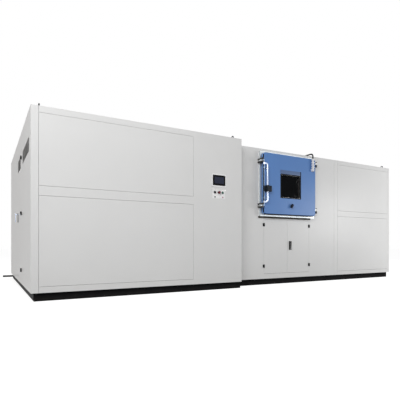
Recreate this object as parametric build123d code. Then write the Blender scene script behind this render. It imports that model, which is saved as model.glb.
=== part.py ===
"""Walk-up environmental test chamber: a long machine housing with a lower test housing beside it.

Sizes are in millimetres. U runs along the front from the left housing's left face, V runs back
from the left housing's front face and Z is the height above the floor. The model's origin is
the middle of the whole outline at floor level, with +X along U, +Y along V and +Z up.
"""

from build123d import *
import os

# Housings
LEFT_WIDTH = 2990
LEFT_DEPTH = 3720
LEFT_TOP = 2300
RIGHT_WIDTH = 3940
RIGHT_SETBACK = 220
RIGHT_DROP = 30
RIGHT_TOP = LEFT_TOP - RIGHT_DROP
BASE_HEIGHT = 100
BASE_INSET = 37

# Sheet metal and frame sections
SHEET = 2
PAN_DEPTH = 25
SEAM = 3
POST = 60
POST_WALL = 3
CORNER_COVER = 84
CHANNEL_FLANGE = 50
CHANNEL_WALL = 7
BASE_BAY = 640
FLOOR_PLATE = 4
STIFFENER_WIDTH = 40

# Left housing's front: panel field, strips and control zone
FIELD_LEFT = CORNER_COVER + SEAM
FIELD_RIGHT = 2147
LEFT_SILL_RISE = 76
LEFT_SILL = BASE_HEIGHT + LEFT_SILL_RISE
LEFT_STRIP_LOW = 1249
LEFT_STRIP = 116
LEFT_STRIP_HIGH = LEFT_STRIP_LOW + LEFT_STRIP
LEFT_HEADER = 76
LEFT_HEAD = LEFT_TOP - LEFT_HEADER

# Right housing's front: end panels
WALL_WIDTH = 2289
END_POST_WIDTH = 98
END_COVER = 60
END_POST_LEFT = LEFT_WIDTH + WALL_WIDTH
END_POST_RIGHT = END_POST_LEFT + END_POST_WIDTH
END_FIELD_RIGHT = LEFT_WIDTH + RIGHT_WIDTH - END_COVER
RIGHT_SILL_RISE = 72
RIGHT_SILL = BASE_HEIGHT + RIGHT_SILL_RISE
RIGHT_STRIP_LOW = 1210
RIGHT_STRIP = 107
RIGHT_STRIP_HIGH = RIGHT_STRIP_LOW + RIGHT_STRIP
RIGHT_HEADER = 79
RIGHT_HEAD = RIGHT_TOP - RIGHT_HEADER

# Rear louvres
LOUVRE_LOW = 420
LOUVRE_HIGH = 1900
LOUVRE_FIRST = 1020
LOUVRE_WIDTH = 900
LOUVRE_COUNT = 2
LOUVRE_RIM = 40
SLAT_PITCH = 90
SLAT_THICK = 3

# Main door, from the right housing's left edge and its roof
DOOR_OFFSET = 541
DOOR_LEFT = LEFT_WIDTH + DOOR_OFFSET
DOOR_WIDTH = 1169
DOOR_RIGHT = DOOR_LEFT + DOOR_WIDTH
DOOR_DROP = 73
DOOR_HIGH = RIGHT_TOP - DOOR_DROP
DOOR_HEIGHT = 1022
DOOR_LOW = DOOR_HIGH - DOOR_HEIGHT
DOOR_DEPTH = 64
DOOR_CORNER = 52
DOOR_EDGE = 16
PLUG_GAP = 15
PLUG_DEPTH = 92
GASKET_WIDTH = 20
GASKET_INSET = 8
GASKET_CORNER = 20
GASKET_THICK = 7
TOUCH_GAP = 0.3

# Raised frame round the test space, which the door's edges lie inside
FRAME_RIM = 27
FRAME_SILL = 28
FRAME_LEFT = DOOR_LEFT - FRAME_RIM
FRAME_RIGHT = DOOR_RIGHT + FRAME_RIM
FRAME_LOW = DOOR_LOW - FRAME_SILL
FRAME_HIGH = DOOR_HIGH + FRAME_RIM
FRAME_PROUD = 25
FRAME_FRONT = RIGHT_SETBACK - FRAME_PROUD
DOOR_BACK = FRAME_FRONT - GASKET_THICK
DOOR_FRONT = DOOR_BACK - DOOR_DEPTH
PLUG_BACK = DOOR_BACK + PLUG_DEPTH

# Test space, which the door laps over, and its insulation
LAP_LEFT = 69
LAP_RIGHT = 66
LAP_LOW = 60
LAP_HIGH = 62
SPACE_DEPTH = 1080
SPACE_LEFT = DOOR_LEFT + LAP_LEFT
SPACE_RIGHT = DOOR_RIGHT - LAP_RIGHT
SPACE_LOW = DOOR_LOW + LAP_LOW
SPACE_HIGH = DOOR_HIGH - LAP_HIGH
SPACE_BACK = RIGHT_SETBACK + SPACE_DEPTH
INSULATION = 98
SUPPORT_POST = 60
SPACE_MIDDLE = (SPACE_LEFT + SPACE_RIGHT) / 2

# Window
WINDOW_INSET = 348
WINDOW_LEFT = DOOR_LEFT + WINDOW_INSET
WINDOW_WIDTH = 468
WINDOW_RISE = 282
WINDOW_LOW = DOOR_LOW + WINDOW_RISE
WINDOW_HEIGHT = 412
WINDOW_BORDER = 18
WINDOW_CORNER = 14
WINDOW_RING_PROUD = 3
PANE = 6
OUTER_PANE_DEPTH = 50

# Main hinges
HINGE_OFFSET = 37
HINGE_SETBACK = 26
HINGE_RISE = 99
HINGE_DROP = 93
HINGE_U = DOOR_RIGHT + HINGE_OFFSET
HINGE_V = DOOR_FRONT + HINGE_SETBACK
HINGE_HEIGHTS = (DOOR_LOW + HINGE_RISE, DOOR_HIGH - HINGE_DROP)
HINGE_PIN = 7
HINGE_KNUCKLE = 15
HINGE_KNUCKLE_HEIGHT = 42
HINGE_CAP = 16
HINGE_CAP_HEIGHT = 10
HINGE_LEAF = 6
HINGE_WEB = 12
HINGE_FOOT = 48
RUNNING_FIT = 0.06

# Lock: rod, noses, grip bar, lock body and catch
ROD_OFFSET = 14
ROD_STANDOFF = 20
ROD_RISE = 125
ROD_DROP = 124
ROD_U = DOOR_LEFT - ROD_OFFSET
ROD_V = DOOR_FRONT - ROD_STANDOFF
ROD_RADIUS = 8
ROD_LOW = DOOR_LOW + ROD_RISE
ROD_HIGH = DOOR_HIGH - ROD_DROP
NOSE_INSET = 17
NOSE_HEIGHTS = (ROD_LOW + NOSE_INSET, ROD_HIGH - NOSE_INSET)
NOSE_REACH = 30
NOSE_THICK = 12
NOSE_HALF = 12
ARM_RISE = 55
GRIP_OFFSET = 45
GRIP_STANDOFF = 26
GRIP_U = ROD_U + GRIP_OFFSET
GRIP_V = ROD_V - GRIP_STANDOFF
GRIP_RADIUS = 15
GRIP_BEND = 30
HUB_RADIUS = 17
HUB_HEIGHT = 32
BRACKET_INSET = 123
BRACKET_HEIGHT = 30
BRACKET_FOOT = 40
BRACKET_WALL = 7
BRACKET_WEB = 10
LOCK_RISE = 414
LOCK_MIDDLE = DOOR_LOW + LOCK_RISE
LOCK_HEIGHT = 106
LOCK_WIDTH = 53
LOCK_NOSE = 25
LOCK_TAIL = 21
LOCK_FRONT = GRIP_V - LOCK_NOSE
LOCK_BACK = GRIP_V + LOCK_TAIL
LOCK_SINK = 8
LOCK_CORNER = 6
CATCH_WIDTH = 56
CATCH_GAP = 4
CATCH_SETBACK = 9
CATCH_CORNER = 8
LOCK_KNOB = 20
LOCK_END = 10
BUTTON_RADIUS = 11
BUTTON_PROUD = 8
BUTTON_TRAVEL = 5
KEEPER_REACH = 45
KEEPER_LIP = 11
KEEPER_LEAD = 12
KEEPER_DEPTH = 36
KEEPER_LEFT = ROD_U - KEEPER_REACH
KEEPER_RIGHT = ROD_U + KEEPER_LIP
KEEPER_JAW = 28
KEEPER_HALF = 35
KEEPER_MOUTH = 14
KEEPER_FRONT = ROD_V - KEEPER_LEAD
KEEPER_THROAT = ROD_V + KEEPER_DEPTH
KEEPER_SPACER = 10

# Window wiper
WIPER_OFFSET = 239
WIPER_RISE = 156
WIPER_U = WINDOW_LEFT + WIPER_OFFSET
WIPER_Z = DOOR_LOW + WIPER_RISE
WIPER_SHAFT = 6
WIPER_SLEEVE = 10
WIPER_HUB = 20
WIPER_NECK = 14
WIPER_STANDOFF = 16
WIPER_GRIP_LENGTH = 76
WIPER_GRIP_WIDTH = 22
WIPER_GRIP_DEPTH = 26
WIPER_GRIP_TILT = 55
WIPER_ARM = 330
WIPER_ARM_WIDTH = 14
WIPER_ARM_THICK = 4
WIPER_BOSS = 15
WIPER_BOSS_LENGTH = 14
WIPER_BLADE = 350
WIPER_BLADE_WIDTH = 12
WIPER_BLADE_DEPTH = 7

# Door cable and its ribbed boot
CABLE_OFFSET = 94
CABLE_U = DOOR_RIGHT - CABLE_OFFSET
CABLE_RADIUS = 8
CABLE_RISE = 12
CABLE_RUN = 200
CABLE_START_V = RIGHT_SETBACK + CABLE_RUN
CABLE_BEND = 80
BOOT_STANDOFF = 26
BOOT_DROP = 7
BOOT_LENGTH = 222
BOOT_V = DOOR_FRONT - BOOT_STANDOFF
BOOT_TOP = DOOR_HIGH - BOOT_DROP
BOOT_LOW = BOOT_TOP - BOOT_LENGTH
BOOT_RADIUS = 25
BOOT_CORE = 20
BOOT_RIBS = 8
BOOT_FOOT_WIDTH = 44
BOOT_FOOT_HEIGHT = 46
GLAND_WIDTH = 40
GLAND_LENGTH = 50
GLAND_HEIGHT = 30

# Lower double doors
LEAF_RISE = 85
LEAF_DROP = 53
LEAF_LOW = BASE_HEIGHT + LEAF_RISE
LEAF_HIGH = FRAME_LOW - LEAF_DROP
LEAF_GAP = 3
LEAF_HINGE_RISE = 128
LEAF_HINGE_DROP = 90
LEAF_HINGE_HEIGHTS = (LEAF_LOW + LEAF_HINGE_RISE, LEAF_HIGH - LEAF_HINGE_DROP)
SMALL_HINGE_WIDTH = 42
SMALL_HINGE_HEIGHT = 53
SMALL_HINGE_PLATE = 3
SMALL_HINGE_PIN = 3
SMALL_HINGE_KNUCKLE = 7
SMALL_HINGE_STANDOFF = 12
LATCH_OFFSET = 57
LATCH_U = SPACE_MIDDLE + LATCH_OFFSET
LATCH_HIGH = 733
LATCH_LENGTH = 152
LATCH_WIDTH = 28

# Maintenance door in the left end
SIDE_DOOR_FRONT = 1260
SIDE_DOOR_BACK = 2020
SIDE_DOOR_RISE = 85
SIDE_DOOR_DROP = 250
SIDE_DOOR_LOW = BASE_HEIGHT + SIDE_DOOR_RISE
SIDE_DOOR_HIGH = LEFT_TOP - SIDE_DOOR_DROP
SIDE_HINGE_RISE = 118
SIDE_HINGE_MIDDLE = 1121
SIDE_HINGE_DROP = 120
SIDE_HINGE_HEIGHTS = (
    SIDE_DOOR_LOW + SIDE_HINGE_RISE, SIDE_HINGE_MIDDLE, SIDE_DOOR_HIGH - SIDE_HINGE_DROP,
)
SIDE_LATCH_INSET = 120
SIDE_LATCH_V = SIDE_DOOR_BACK - SIDE_LATCH_INSET
SIDE_LATCH_HIGH = 1166
SIDE_LATCH_LENGTH = 140
SIDE_LATCH_WIDTH = 24

# Louvred vents in the left end: one in the fixed panel, one in the maintenance door
VENT_HEIGHT = 190
VENT_DROP = 65
VENT_HIGH = SIDE_DOOR_HIGH - VENT_DROP
VENT_LOW = VENT_HIGH - VENT_HEIGHT
VENT_FRONT = 200
VENT_MARGIN = 150
VENT_BACK_MARGIN = 90
VENT_SLATS = 8
VENT_RIM = 4
VENT_DEPTH = 18
VENT_TILT = 40
VENT_BLADE = 26

# Lever handles of both small doors
LEVER_PLATE = 6
LEVER_STANDOFF = 26
LEVER_THICK = 10
LEVER_SHAFT = 6
LEVER_PIVOT_DROP = 18
LEVER_CAM_LENGTH = 30
LEVER_CAM_WIDTH = 16
LEVER_CAM_THICK = 4

# Controls
HMI_MIDDLE = 2577
HMI_LOW = 1551
HMI_WIDTH = 216
HMI_HEIGHT = 152
HMI_PROUD = 8
HMI_BODY_DEPTH = 50
HMI_BODY_MARGIN = 12
SCREEN_WIDTH = 164
SCREEN_HEIGHT = 98
SCREEN_THICK = 1.5
HMI_SURROUND = 26
HMI_SURROUND_THICK = 3
SWITCH_Z = 1447
SELECTOR_U = 2504
ESTOP_U = 2572
START_U = 2641
SWITCH_HOLE = 11.2
COLLAR_RADIUS = 19
COLLAR_PROUD = 8
CONTACT_BLOCK = 34
CONTACT_DEPTH = 48
STEM_RADIUS = 8
ESTOP_RADIUS = 22.5
ESTOP_REACH = 45
ESTOP_TRAVEL = 8
ESTOP_CROWN = 4
START_RADIUS = 14
START_PROUD = 7
START_TRAVEL = 4
SELECTOR_RADIUS = 15
SELECTOR_PROUD = 16
LAMP_Z = 1378
LAMP_US = (2509, 2643)
LAMP_RADIUS = 11
LAMP_PROUD = 9

# Machinery
COMPRESSOR_RADIUS = 130
COMPRESSOR_HEIGHT = 420
COMPRESSOR_US = (700, 1150)
COMPRESSOR_V = 2500
COIL_THICK = 160
FAN_RADIUS = 330
FAN_HUB = 70
FAN_BLADES = 5
FAN_DEPTH = 70
CONDENSER_FAN_OFFSET = 910
CONDENSER_FAN_U = LOUVRE_FIRST + CONDENSER_FAN_OFFSET
CONDENSER_FAN_Z = (LOUVRE_LOW + LOUVRE_HIGH) / 2
WHEEL_RADIUS = 200
WHEEL_DEPTH = 90
WHEEL_BLADES = 12
WHEEL_DROP = 345
WHEEL_Z = SPACE_HIGH - WHEEL_DROP
FAN_SHAFT = 12
SHAFT_END_PLAY = 4
SHAFT_REACH = 40
MOTOR_RADIUS = 90
MOTOR_LENGTH = 220
BAFFLE_GAP = 150
BAFFLE_V = SPACE_BACK - BAFFLE_GAP
SHELF_RISE = 365
SHELF_Z = SPACE_LOW + SHELF_RISE
SHELF_BARS = 12

CONDENSER_PLAY = 40
SHROUD_FRONT = 30
SHROUD_RIM = 60
SHROUD_CLEAR = 10
FAN_MOTOR_LENGTH = 130
FAN_SPOKE = 40
FAN_SPOKE_THICK = 8
FAN_SPINDLE = 10
FAN_SPINDLE_DEPTH = 60
BLADE_WIDTH = 130
BLADE_THICK = 4
BLADE_PITCH = 28
BLADE_ROOT = 10
COMPRESSOR_FOOT = 30
COMPRESSOR_FLANGE = 20
COMPRESSOR_DOME = 45
BOARD_LOW = 400
BOARD_DROP = 250
BOARD_HIGH = LEFT_TOP - BOARD_DROP
BOARD_THICK = 3
BOARD_MARGIN = 60
BOARD_ROWS = ((1750, 220, 140), (1350, 160, 90), (1050, 160, 90), (600, 260, 180))
BAFFLE_SLOT = 60
SHELF_BAR = 8
SHELF_PLAY = 3
SHELF_RUNNER = 20
MOTOR_PLATE = 150
MOTOR_PLATE_THICK = 6
HEATER_RADIUS = 6
HEATER_DROPS = (70, 110)
COIL_MARGIN = 60

# Lifting parts
LUG_RADIUS = 17
LUG_REACH = 150
LUG_INSET = 80
LUG_V = LEFT_DEPTH - LUG_INSET
EYE_INSET = 100
EYE_COLLAR = 20
EYE_COLLAR_HEIGHT = 8
EYE_OUTER = 28
EYE_HOLE = 15
EYE_THICK = 14
EYE_SINK = 4

# The outline's middle, which the origin stands under
TOTAL_WIDTH = LEFT_WIDTH + RIGHT_WIDTH
MID_U = TOTAL_WIDTH / 2
MID_V = (LEFT_DEPTH - ESTOP_REACH) / 2
RIGHT_FRONT = RIGHT_SETBACK
SKELETON = PAN_DEPTH + POST


def block(u0, u1, v0, v1, z0, z1):
    """A rectangular block between two corners."""
    middle = Pos((u0 + u1) / 2 - MID_U, (v0 + v1) / 2 - MID_V, (z0 + z1) / 2)
    return middle * Box(u1 - u0, v1 - v0, z1 - z0)


def post(u, v, z0, z1, radius):
    """An upright cylinder."""
    return Pos(u - MID_U, v - MID_V, (z0 + z1) / 2) * Cylinder(radius, z1 - z0)


def spigot(u, z, v0, v1, radius):
    """A cylinder that runs from front to back."""
    return Pos(u - MID_U, (v0 + v1) / 2 - MID_V, z) * Rot(90, 0, 0) * Cylinder(radius, v1 - v0)


def crossbar(v, z, u0, u1, radius):
    """A cylinder that runs along the front."""
    return Pos((u0 + u1) / 2 - MID_U, v - MID_V, z) * Rot(0, 90, 0) * Cylinder(radius, u1 - u0)


def front_plate(sketch, u, z, v_back, depth):
    """A sketch of the front view, centred at U and Z, made a plate that grows forward from V."""
    return Pos(u - MID_U, v_back - MID_V, z) * Rot(90, 0, 0) * extrude(sketch, depth)


def behind(face, at, a0, a1, b0, b1, d0, d1):
    """A block behind a face: a runs along it, b runs up it, or back on a roof, and d is the depth."""
    if face == "front":
        return block(a0, a1, at + d0, at + d1, b0, b1)
    if face == "rear":
        return block(a0, a1, at - d1, at - d0, b0, b1)
    if face == "left":
        return block(at + d0, at + d1, a0, a1, b0, b1)
    if face == "right":
        return block(at - d1, at - d0, a0, a1, b0, b1)
    return block(a0, a1, b0, b1, at - d1, at - d0)


def pan(face, at, a0, a1, b0, b1, stiffeners=0):
    """A sheet panel with folded edges and hat stiffeners on its inner side."""
    shape = behind(face, at, a0, a1, b0, b1, 0, PAN_DEPTH)
    shape -= behind(face, at, a0 + SHEET, a1 - SHEET, b0 + SHEET, b1 - SHEET, SHEET, PAN_DEPTH)
    pitch = (a1 - a0) / (stiffeners + 1)
    for k in range(stiffeners):
        middle = a0 + pitch * (k + 1)
        half = STIFFENER_WIDTH / 2
        hat = behind(face, at, middle - half, middle + half, b0 + SHEET, b1 - SHEET, SHEET, PAN_DEPTH)
        hat -= behind(
            face, at, middle - half + SHEET, middle + half - SHEET,
            b0 + SHEET, b1 - SHEET, SHEET, PAN_DEPTH - SHEET,
        )
        shape += hat
    return shape


def vented(panel, v0, v1):
    """A left end panel with a louvred vent set in it between two places along V."""
    panel -= behind("left", 0, v0, v1, VENT_LOW, VENT_HIGH, 0, PAN_DEPTH)
    rim = behind("left", 0, v0, v1, VENT_LOW, VENT_HIGH, 0, VENT_DEPTH)
    mouth = behind(
        "left", 0, v0 + VENT_RIM, v1 - VENT_RIM, VENT_LOW + VENT_RIM, VENT_HIGH - VENT_RIM, 0, VENT_DEPTH
    )
    pitch = (VENT_HIGH - VENT_LOW - 2 * VENT_RIM) / VENT_SLATS
    blades = []
    for k in range(VENT_SLATS):
        z = VENT_LOW + VENT_RIM + pitch * (k + 0.5)
        place = Pos(VENT_DEPTH / 2 - MID_U, (v0 + v1) / 2 - MID_V, z) * Rot(0, -VENT_TILT, 0)
        blades.append((place * Box(VENT_BLADE, v1 - v0, SHEET)) & mouth)
    vent = rim - mouth
    for blade in blades:
        vent += blade
    return panel + vent


def tube_u(u0, u1, v0, z0):
    """A square frame tube along U, given by its lower front corner."""
    shape = block(u0, u1, v0, v0 + POST, z0, z0 + POST)
    return shape - block(
        u0, u1, v0 + POST_WALL, v0 + POST - POST_WALL, z0 + POST_WALL, z0 + POST - POST_WALL
    )


def tube_v(u0, v0, v1, z0):
    """A square frame tube along V."""
    shape = block(u0, u0 + POST, v0, v1, z0, z0 + POST)
    return shape - block(
        u0 + POST_WALL, u0 + POST - POST_WALL, v0, v1, z0 + POST_WALL, z0 + POST - POST_WALL
    )


def tube_z(u0, v0, z0, z1):
    """A square frame tube that stands upright."""
    shape = block(u0, u0 + POST, v0, v0 + POST, z0, z1)
    return shape - block(
        u0 + POST_WALL, u0 + POST - POST_WALL, v0 + POST_WALL, v0 + POST - POST_WALL, z0, z1
    )


def corner_cover(u, v, to_u, to_v, top, width=CORNER_COVER):
    """A folded corner post cover, from the outer corner towards the two directions given."""
    def leg(u0, u1, v0, v1):
        low_u, high_u = sorted((u + to_u * u0, u + to_u * u1))
        low_v, high_v = sorted((v + to_v * v0, v + to_v * v1))
        return block(low_u, high_u, low_v, high_v, BASE_HEIGHT, top)

    shape = leg(0, width, 0, SHEET) + leg(0, SHEET, 0, CORNER_COVER)
    shape += leg(width - SHEET, width, 0, PAN_DEPTH)
    return shape + leg(0, PAN_DEPTH, CORNER_COVER - SHEET, CORNER_COVER)


def save(name, *shapes):
    """Write one node's solids to its STEP file."""
    solids = []
    for shape in shapes:
        found = shape.solids()
        solids.extend(found)
    whole = solids[0] if len(solids) == 1 else Compound(solids)
    whole.label = name
    export_step(whole, f"parts/{name}.step")


def channel(u0, u1, v0, v1, opens):
    """A base channel between two corners, with its open side towards opens."""
    shape = block(u0, u1, v0, v1, 0, BASE_HEIGHT)
    inner = dict(u0=u0, u1=u1, v0=v0, v1=v1)
    web = {"+u": ("u0", 1), "-u": ("u1", -1), "+v": ("v0", 1), "-v": ("v1", -1)}[opens]
    inner[web[0]] += web[1] * CHANNEL_WALL
    return shape - block(
        inner["u0"], inner["u1"], inner["v0"], inner["v1"],
        CHANNEL_WALL, BASE_HEIGHT - CHANNEL_WALL,
    )


def base_bays(u0, u1):
    """The inner edges of the bays between a base's cross members."""
    count = round((u1 - u0) / BASE_BAY)
    pitch = (u1 - u0 - CHANNEL_FLANGE) / count
    return [u0 + pitch * k for k in range(count + 1)]


def base_module(u0, u1, v0, v1):
    """One welded base: long channels at the front and rear, cross channels between them."""
    pieces = [
        channel(u0, u1, v0, v0 + CHANNEL_FLANGE, "+v"),
        channel(u0, u1, v1 - CHANNEL_FLANGE, v1, "-v"),
    ]
    places = base_bays(u0, u1)
    for k, u in enumerate(places):
        opens = "-u" if k == len(places) - 1 else "+u"
        start = v0 + CHANNEL_FLANGE
        pieces.append(channel(u, u + CHANNEL_FLANGE, start, v1 - CHANNEL_FLANGE, opens))
    return pieces


def make_base():
    left = base_module(BASE_INSET, LEFT_WIDTH, BASE_INSET, LEFT_DEPTH - BASE_INSET)
    right = base_module(
        LEFT_WIDTH, TOTAL_WIDTH - BASE_INSET, RIGHT_FRONT + BASE_INSET, LEFT_DEPTH - BASE_INSET
    )
    left_middle = FIELD_RIGHT - POST / 2
    right_middle = (END_POST_LEFT + END_POST_RIGHT - POST) / 2
    floor_top = BASE_HEIGHT + FLOOR_PLATE
    floors = []
    for u0, u1, v0 in (
        (SKELETON, left_middle, SKELETON),
        (left_middle + POST, LEFT_WIDTH - SKELETON, SKELETON),
        (LEFT_WIDTH + POST, right_middle, RIGHT_FRONT + SKELETON),
        (right_middle + POST, TOTAL_WIDTH - SKELETON, RIGHT_FRONT + SKELETON),
    ):
        floors.append(block(u0, u1, v0, LEFT_DEPTH - SKELETON, BASE_HEIGHT, floor_top))
    save("base_frame", *left, *right, *floors)


def make_lifting_parts():
    """Round lugs at the rear of the base, and an eye bolt near each roof corner."""
    height = BASE_HEIGHT / 2
    root = BASE_INSET
    lugs = []
    for u_root, way in ((root, -1), (TOTAL_WIDTH - root, 1)):
        tip = u_root + way * (BASE_INSET + LUG_REACH)
        low, high = sorted((u_root, tip))
        lug = crossbar(LUG_V, height, low, high, LUG_RADIUS)
        low, high = sorted((u_root, u_root + way * CHANNEL_WALL))
        lugs.append(lug + crossbar(LUG_V, height, low, high, height * 0.8))
    save("lifting_lugs", *lugs)

    eyes = []
    rear = LEFT_DEPTH - EYE_INSET
    places = [(EYE_INSET, v, LEFT_TOP) for v in (EYE_INSET, rear)]
    places += [(LEFT_WIDTH - EYE_INSET, v, LEFT_TOP) for v in (EYE_INSET, rear)]
    front = RIGHT_FRONT + EYE_INSET
    places += [(LEFT_WIDTH + EYE_INSET, v, RIGHT_TOP) for v in (front, rear)]
    places += [(TOTAL_WIDTH - EYE_INSET, v, RIGHT_TOP) for v in (front, rear)]
    for u, v, top in places:
        middle = top + EYE_COLLAR_HEIGHT + EYE_OUTER - EYE_SINK
        ring = spigot(u, middle, v - EYE_THICK / 2, v + EYE_THICK / 2, EYE_OUTER)
        ring = chamfer(ring.edges(), EYE_THICK * 0.3)
        eye = post(u, v, top, top + EYE_COLLAR_HEIGHT, EYE_COLLAR) + ring
        eyes.append(eye - spigot(u, middle, v - EYE_THICK, v + EYE_THICK, EYE_HOLE))
    save("eye_bolts", *eyes)


def make_skeleton():
    """The square-tube frame of both housings, and the stand that carries the test space."""
    parts = []
    low = BASE_HEIGHT
    left_rail_top = LEFT_TOP - PAN_DEPTH
    right_rail_top = RIGHT_TOP - PAN_DEPTH
    strip_rail = (LEFT_STRIP_LOW + LEFT_STRIP_HIGH - POST) / 2
    front, rear = PAN_DEPTH, LEFT_DEPTH - SKELETON
    near, far = PAN_DEPTH, LEFT_WIDTH - SKELETON
    middle = FIELD_RIGHT - POST / 2
    for u in (near, middle, far):
        for v in (front, rear):
            parts.append(tube_z(u, v, low, left_rail_top))
    for u0, u1 in ((near + POST, middle), (middle + POST, far)):
        for v in (front, rear):
            for z in (low, left_rail_top - POST):
                parts.append(tube_u(u0, u1, v, z))
    parts.append(tube_u(near + POST, middle, front, strip_rail))
    for z in (low, left_rail_top - POST):
        parts.append(tube_v(near, front + POST, rear, z))
        parts.append(tube_v(far, front + POST, rear, z))
        parts.append(tube_v(middle, front + POST, rear, z))
    for v in (SIDE_DOOR_FRONT - SEAM - POST, SIDE_DOOR_BACK + SEAM):
        parts.append(tube_z(near, v, low + POST, left_rail_top - POST))
    for edge in (LOUVRE_FIRST, louvre_left(LOUVRE_COUNT)):
        parts.append(tube_z(edge - (SEAM + POST) / 2, rear, low + POST, left_rail_top - POST))
    head = SIDE_DOOR_HIGH + SEAM
    parts.append(tube_v(near, SIDE_DOOR_FRONT - SEAM, SIDE_DOOR_BACK + SEAM, head))

    front = RIGHT_FRONT + PAN_DEPTH
    near, far = LEFT_WIDTH, TOTAL_WIDTH - SKELETON
    strip_rail = (RIGHT_STRIP_LOW + RIGHT_STRIP_HIGH - POST) / 2
    end_post = (END_POST_LEFT + END_POST_RIGHT - POST) / 2
    for u in (near, end_post, far):
        for v in (front, rear):
            parts.append(tube_z(u, v, low, right_rail_top))
    for u0, u1 in ((near + POST, end_post), (end_post + POST, far)):
        for v in (front, rear):
            for z in (low, right_rail_top - POST):
                parts.append(tube_u(u0, u1, v, z))
    parts.append(tube_u(end_post + POST, far, front, strip_rail))
    for z in (low, right_rail_top - POST):
        for u in (near, end_post, far):
            parts.append(tube_v(u, front + POST, rear, z))

    stand_low = BASE_HEIGHT + FLOOR_PLATE
    stand_top = SPACE_LOW - SHEET - INSULATION
    outer_left = SPACE_LEFT - SHEET - INSULATION
    outer_right = SPACE_RIGHT + SHEET + INSULATION
    back = SPACE_BACK + SHEET + INSULATION
    for u in (outer_left, outer_right - SUPPORT_POST):
        for v in (front + POST, back - SUPPORT_POST):
            parts.append(tube_z(u, v, stand_low, stand_top - POST))
        parts.append(tube_v(u, front + POST, back, stand_top - POST))
    save("housing_frame", *parts)


def make_front_panels():
    """Panels and cover strips of both fronts, apart from the control zone and the wall at the door."""
    parts = []
    left, right = FIELD_LEFT, FIELD_RIGHT
    for z0, z1 in (
        (BASE_HEIGHT, LEFT_SILL - SEAM),
        (LEFT_STRIP_LOW, LEFT_STRIP_HIGH - SEAM),
        (LEFT_HEAD, LEFT_TOP),
    ):
        parts.append(pan("front", 0, left, right, z0, z1))
    for z0, z1 in ((LEFT_SILL, LEFT_STRIP_LOW - SEAM), (LEFT_STRIP_HIGH, LEFT_HEAD - SEAM)):
        parts.append(pan("front", 0, left, right - SEAM, z0, z1, 3))
    parts.append(corner_cover(0, 0, 1, 1, LEFT_TOP))

    at = RIGHT_FRONT
    left, right = END_POST_RIGHT, END_FIELD_RIGHT
    for z0, z1 in (
        (BASE_HEIGHT, RIGHT_SILL - SEAM),
        (RIGHT_STRIP_LOW, RIGHT_STRIP_HIGH - SEAM),
        (RIGHT_HEAD, RIGHT_TOP),
    ):
        parts.append(pan("front", at, left, right - SEAM, z0, z1))
    for z0, z1 in ((RIGHT_SILL, RIGHT_STRIP_LOW - SEAM), (RIGHT_STRIP_HIGH, RIGHT_HEAD - SEAM)):
        parts.append(pan("front", at, left, right - SEAM, z0, z1, 2))
    parts.append(pan("front", at, END_POST_LEFT + SEAM, END_POST_RIGHT - SEAM, BASE_HEIGHT, RIGHT_TOP))
    parts.append(corner_cover(TOTAL_WIDTH, at, -1, 1, RIGHT_TOP, TOTAL_WIDTH - END_FIELD_RIGHT))
    save("front_panels", *parts)


def make_end_panels():
    """The ends: a maintenance door opening on the left, plain panels elsewhere."""
    parts = []
    rear_corner = LEFT_DEPTH - CORNER_COVER
    field = CORNER_COVER + SEAM
    jamb_front, jamb_back = SIDE_DOOR_FRONT - SEAM, SIDE_DOOR_BACK + SEAM
    front_panel = pan("left", 0, field, jamb_front, BASE_HEIGHT, LEFT_TOP, 1)
    parts.append(vented(front_panel, VENT_FRONT, SIDE_DOOR_FRONT - VENT_MARGIN))
    parts.append(pan("left", 0, jamb_front, jamb_back, BASE_HEIGHT, SIDE_DOOR_LOW - SEAM))
    parts.append(pan("left", 0, jamb_front, jamb_back, SIDE_DOOR_HIGH + SEAM, LEFT_TOP))
    parts.append(pan("left", 0, jamb_back, rear_corner - SEAM, BASE_HEIGHT, LEFT_TOP, 2))
    parts.append(corner_cover(0, LEFT_DEPTH, 1, -1, LEFT_TOP))

    inner_back = rear_corner - SEAM
    parts.append(pan("right", LEFT_WIDTH, PAN_DEPTH, inner_back, BASE_HEIGHT, LEFT_TOP, 4))
    parts.append(corner_cover(TOTAL_WIDTH, LEFT_DEPTH, -1, -1, RIGHT_TOP))
    start = RIGHT_FRONT + CORNER_COVER + SEAM
    middle = (start + inner_back) / 2
    for v0, v1 in ((start, middle - SEAM), (middle, inner_back)):
        parts.append(pan("right", TOTAL_WIDTH, v0, v1, BASE_HEIGHT, RIGHT_SILL - SEAM))
        parts.append(pan("right", TOTAL_WIDTH, v0, v1, RIGHT_SILL, RIGHT_HEAD - SEAM, 2))
        parts.append(pan("right", TOTAL_WIDTH, v0, v1, RIGHT_HEAD, RIGHT_TOP))
    save("end_panels", *parts)


def make_roofs():
    """Roof panels, set down between the upper edges of the wall panels."""
    parts = []
    for u0, u1, v0, top, count in (
        (0, LEFT_WIDTH, 0, LEFT_TOP, 3),
        (LEFT_WIDTH, TOTAL_WIDTH, RIGHT_FRONT, RIGHT_TOP, 4),
    ):
        left = u0 + PAN_DEPTH + SEAM if u0 == 0 else u0 + SEAM
        right = u1 - PAN_DEPTH - SEAM
        pitch = (right - left + SEAM) / count
        for k in range(count):
            start = left + pitch * k
            parts.append(pan(
                "top", top, start, start + pitch - SEAM,
                v0 + PAN_DEPTH + SEAM, LEFT_DEPTH - PAN_DEPTH - SEAM, 1,
            ))
    save("roof_panels", *parts)


def louvre_left(k):
    """The left edge of one louvred unit."""
    return LOUVRE_FIRST + k * (LOUVRE_WIDTH + SEAM)


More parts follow.
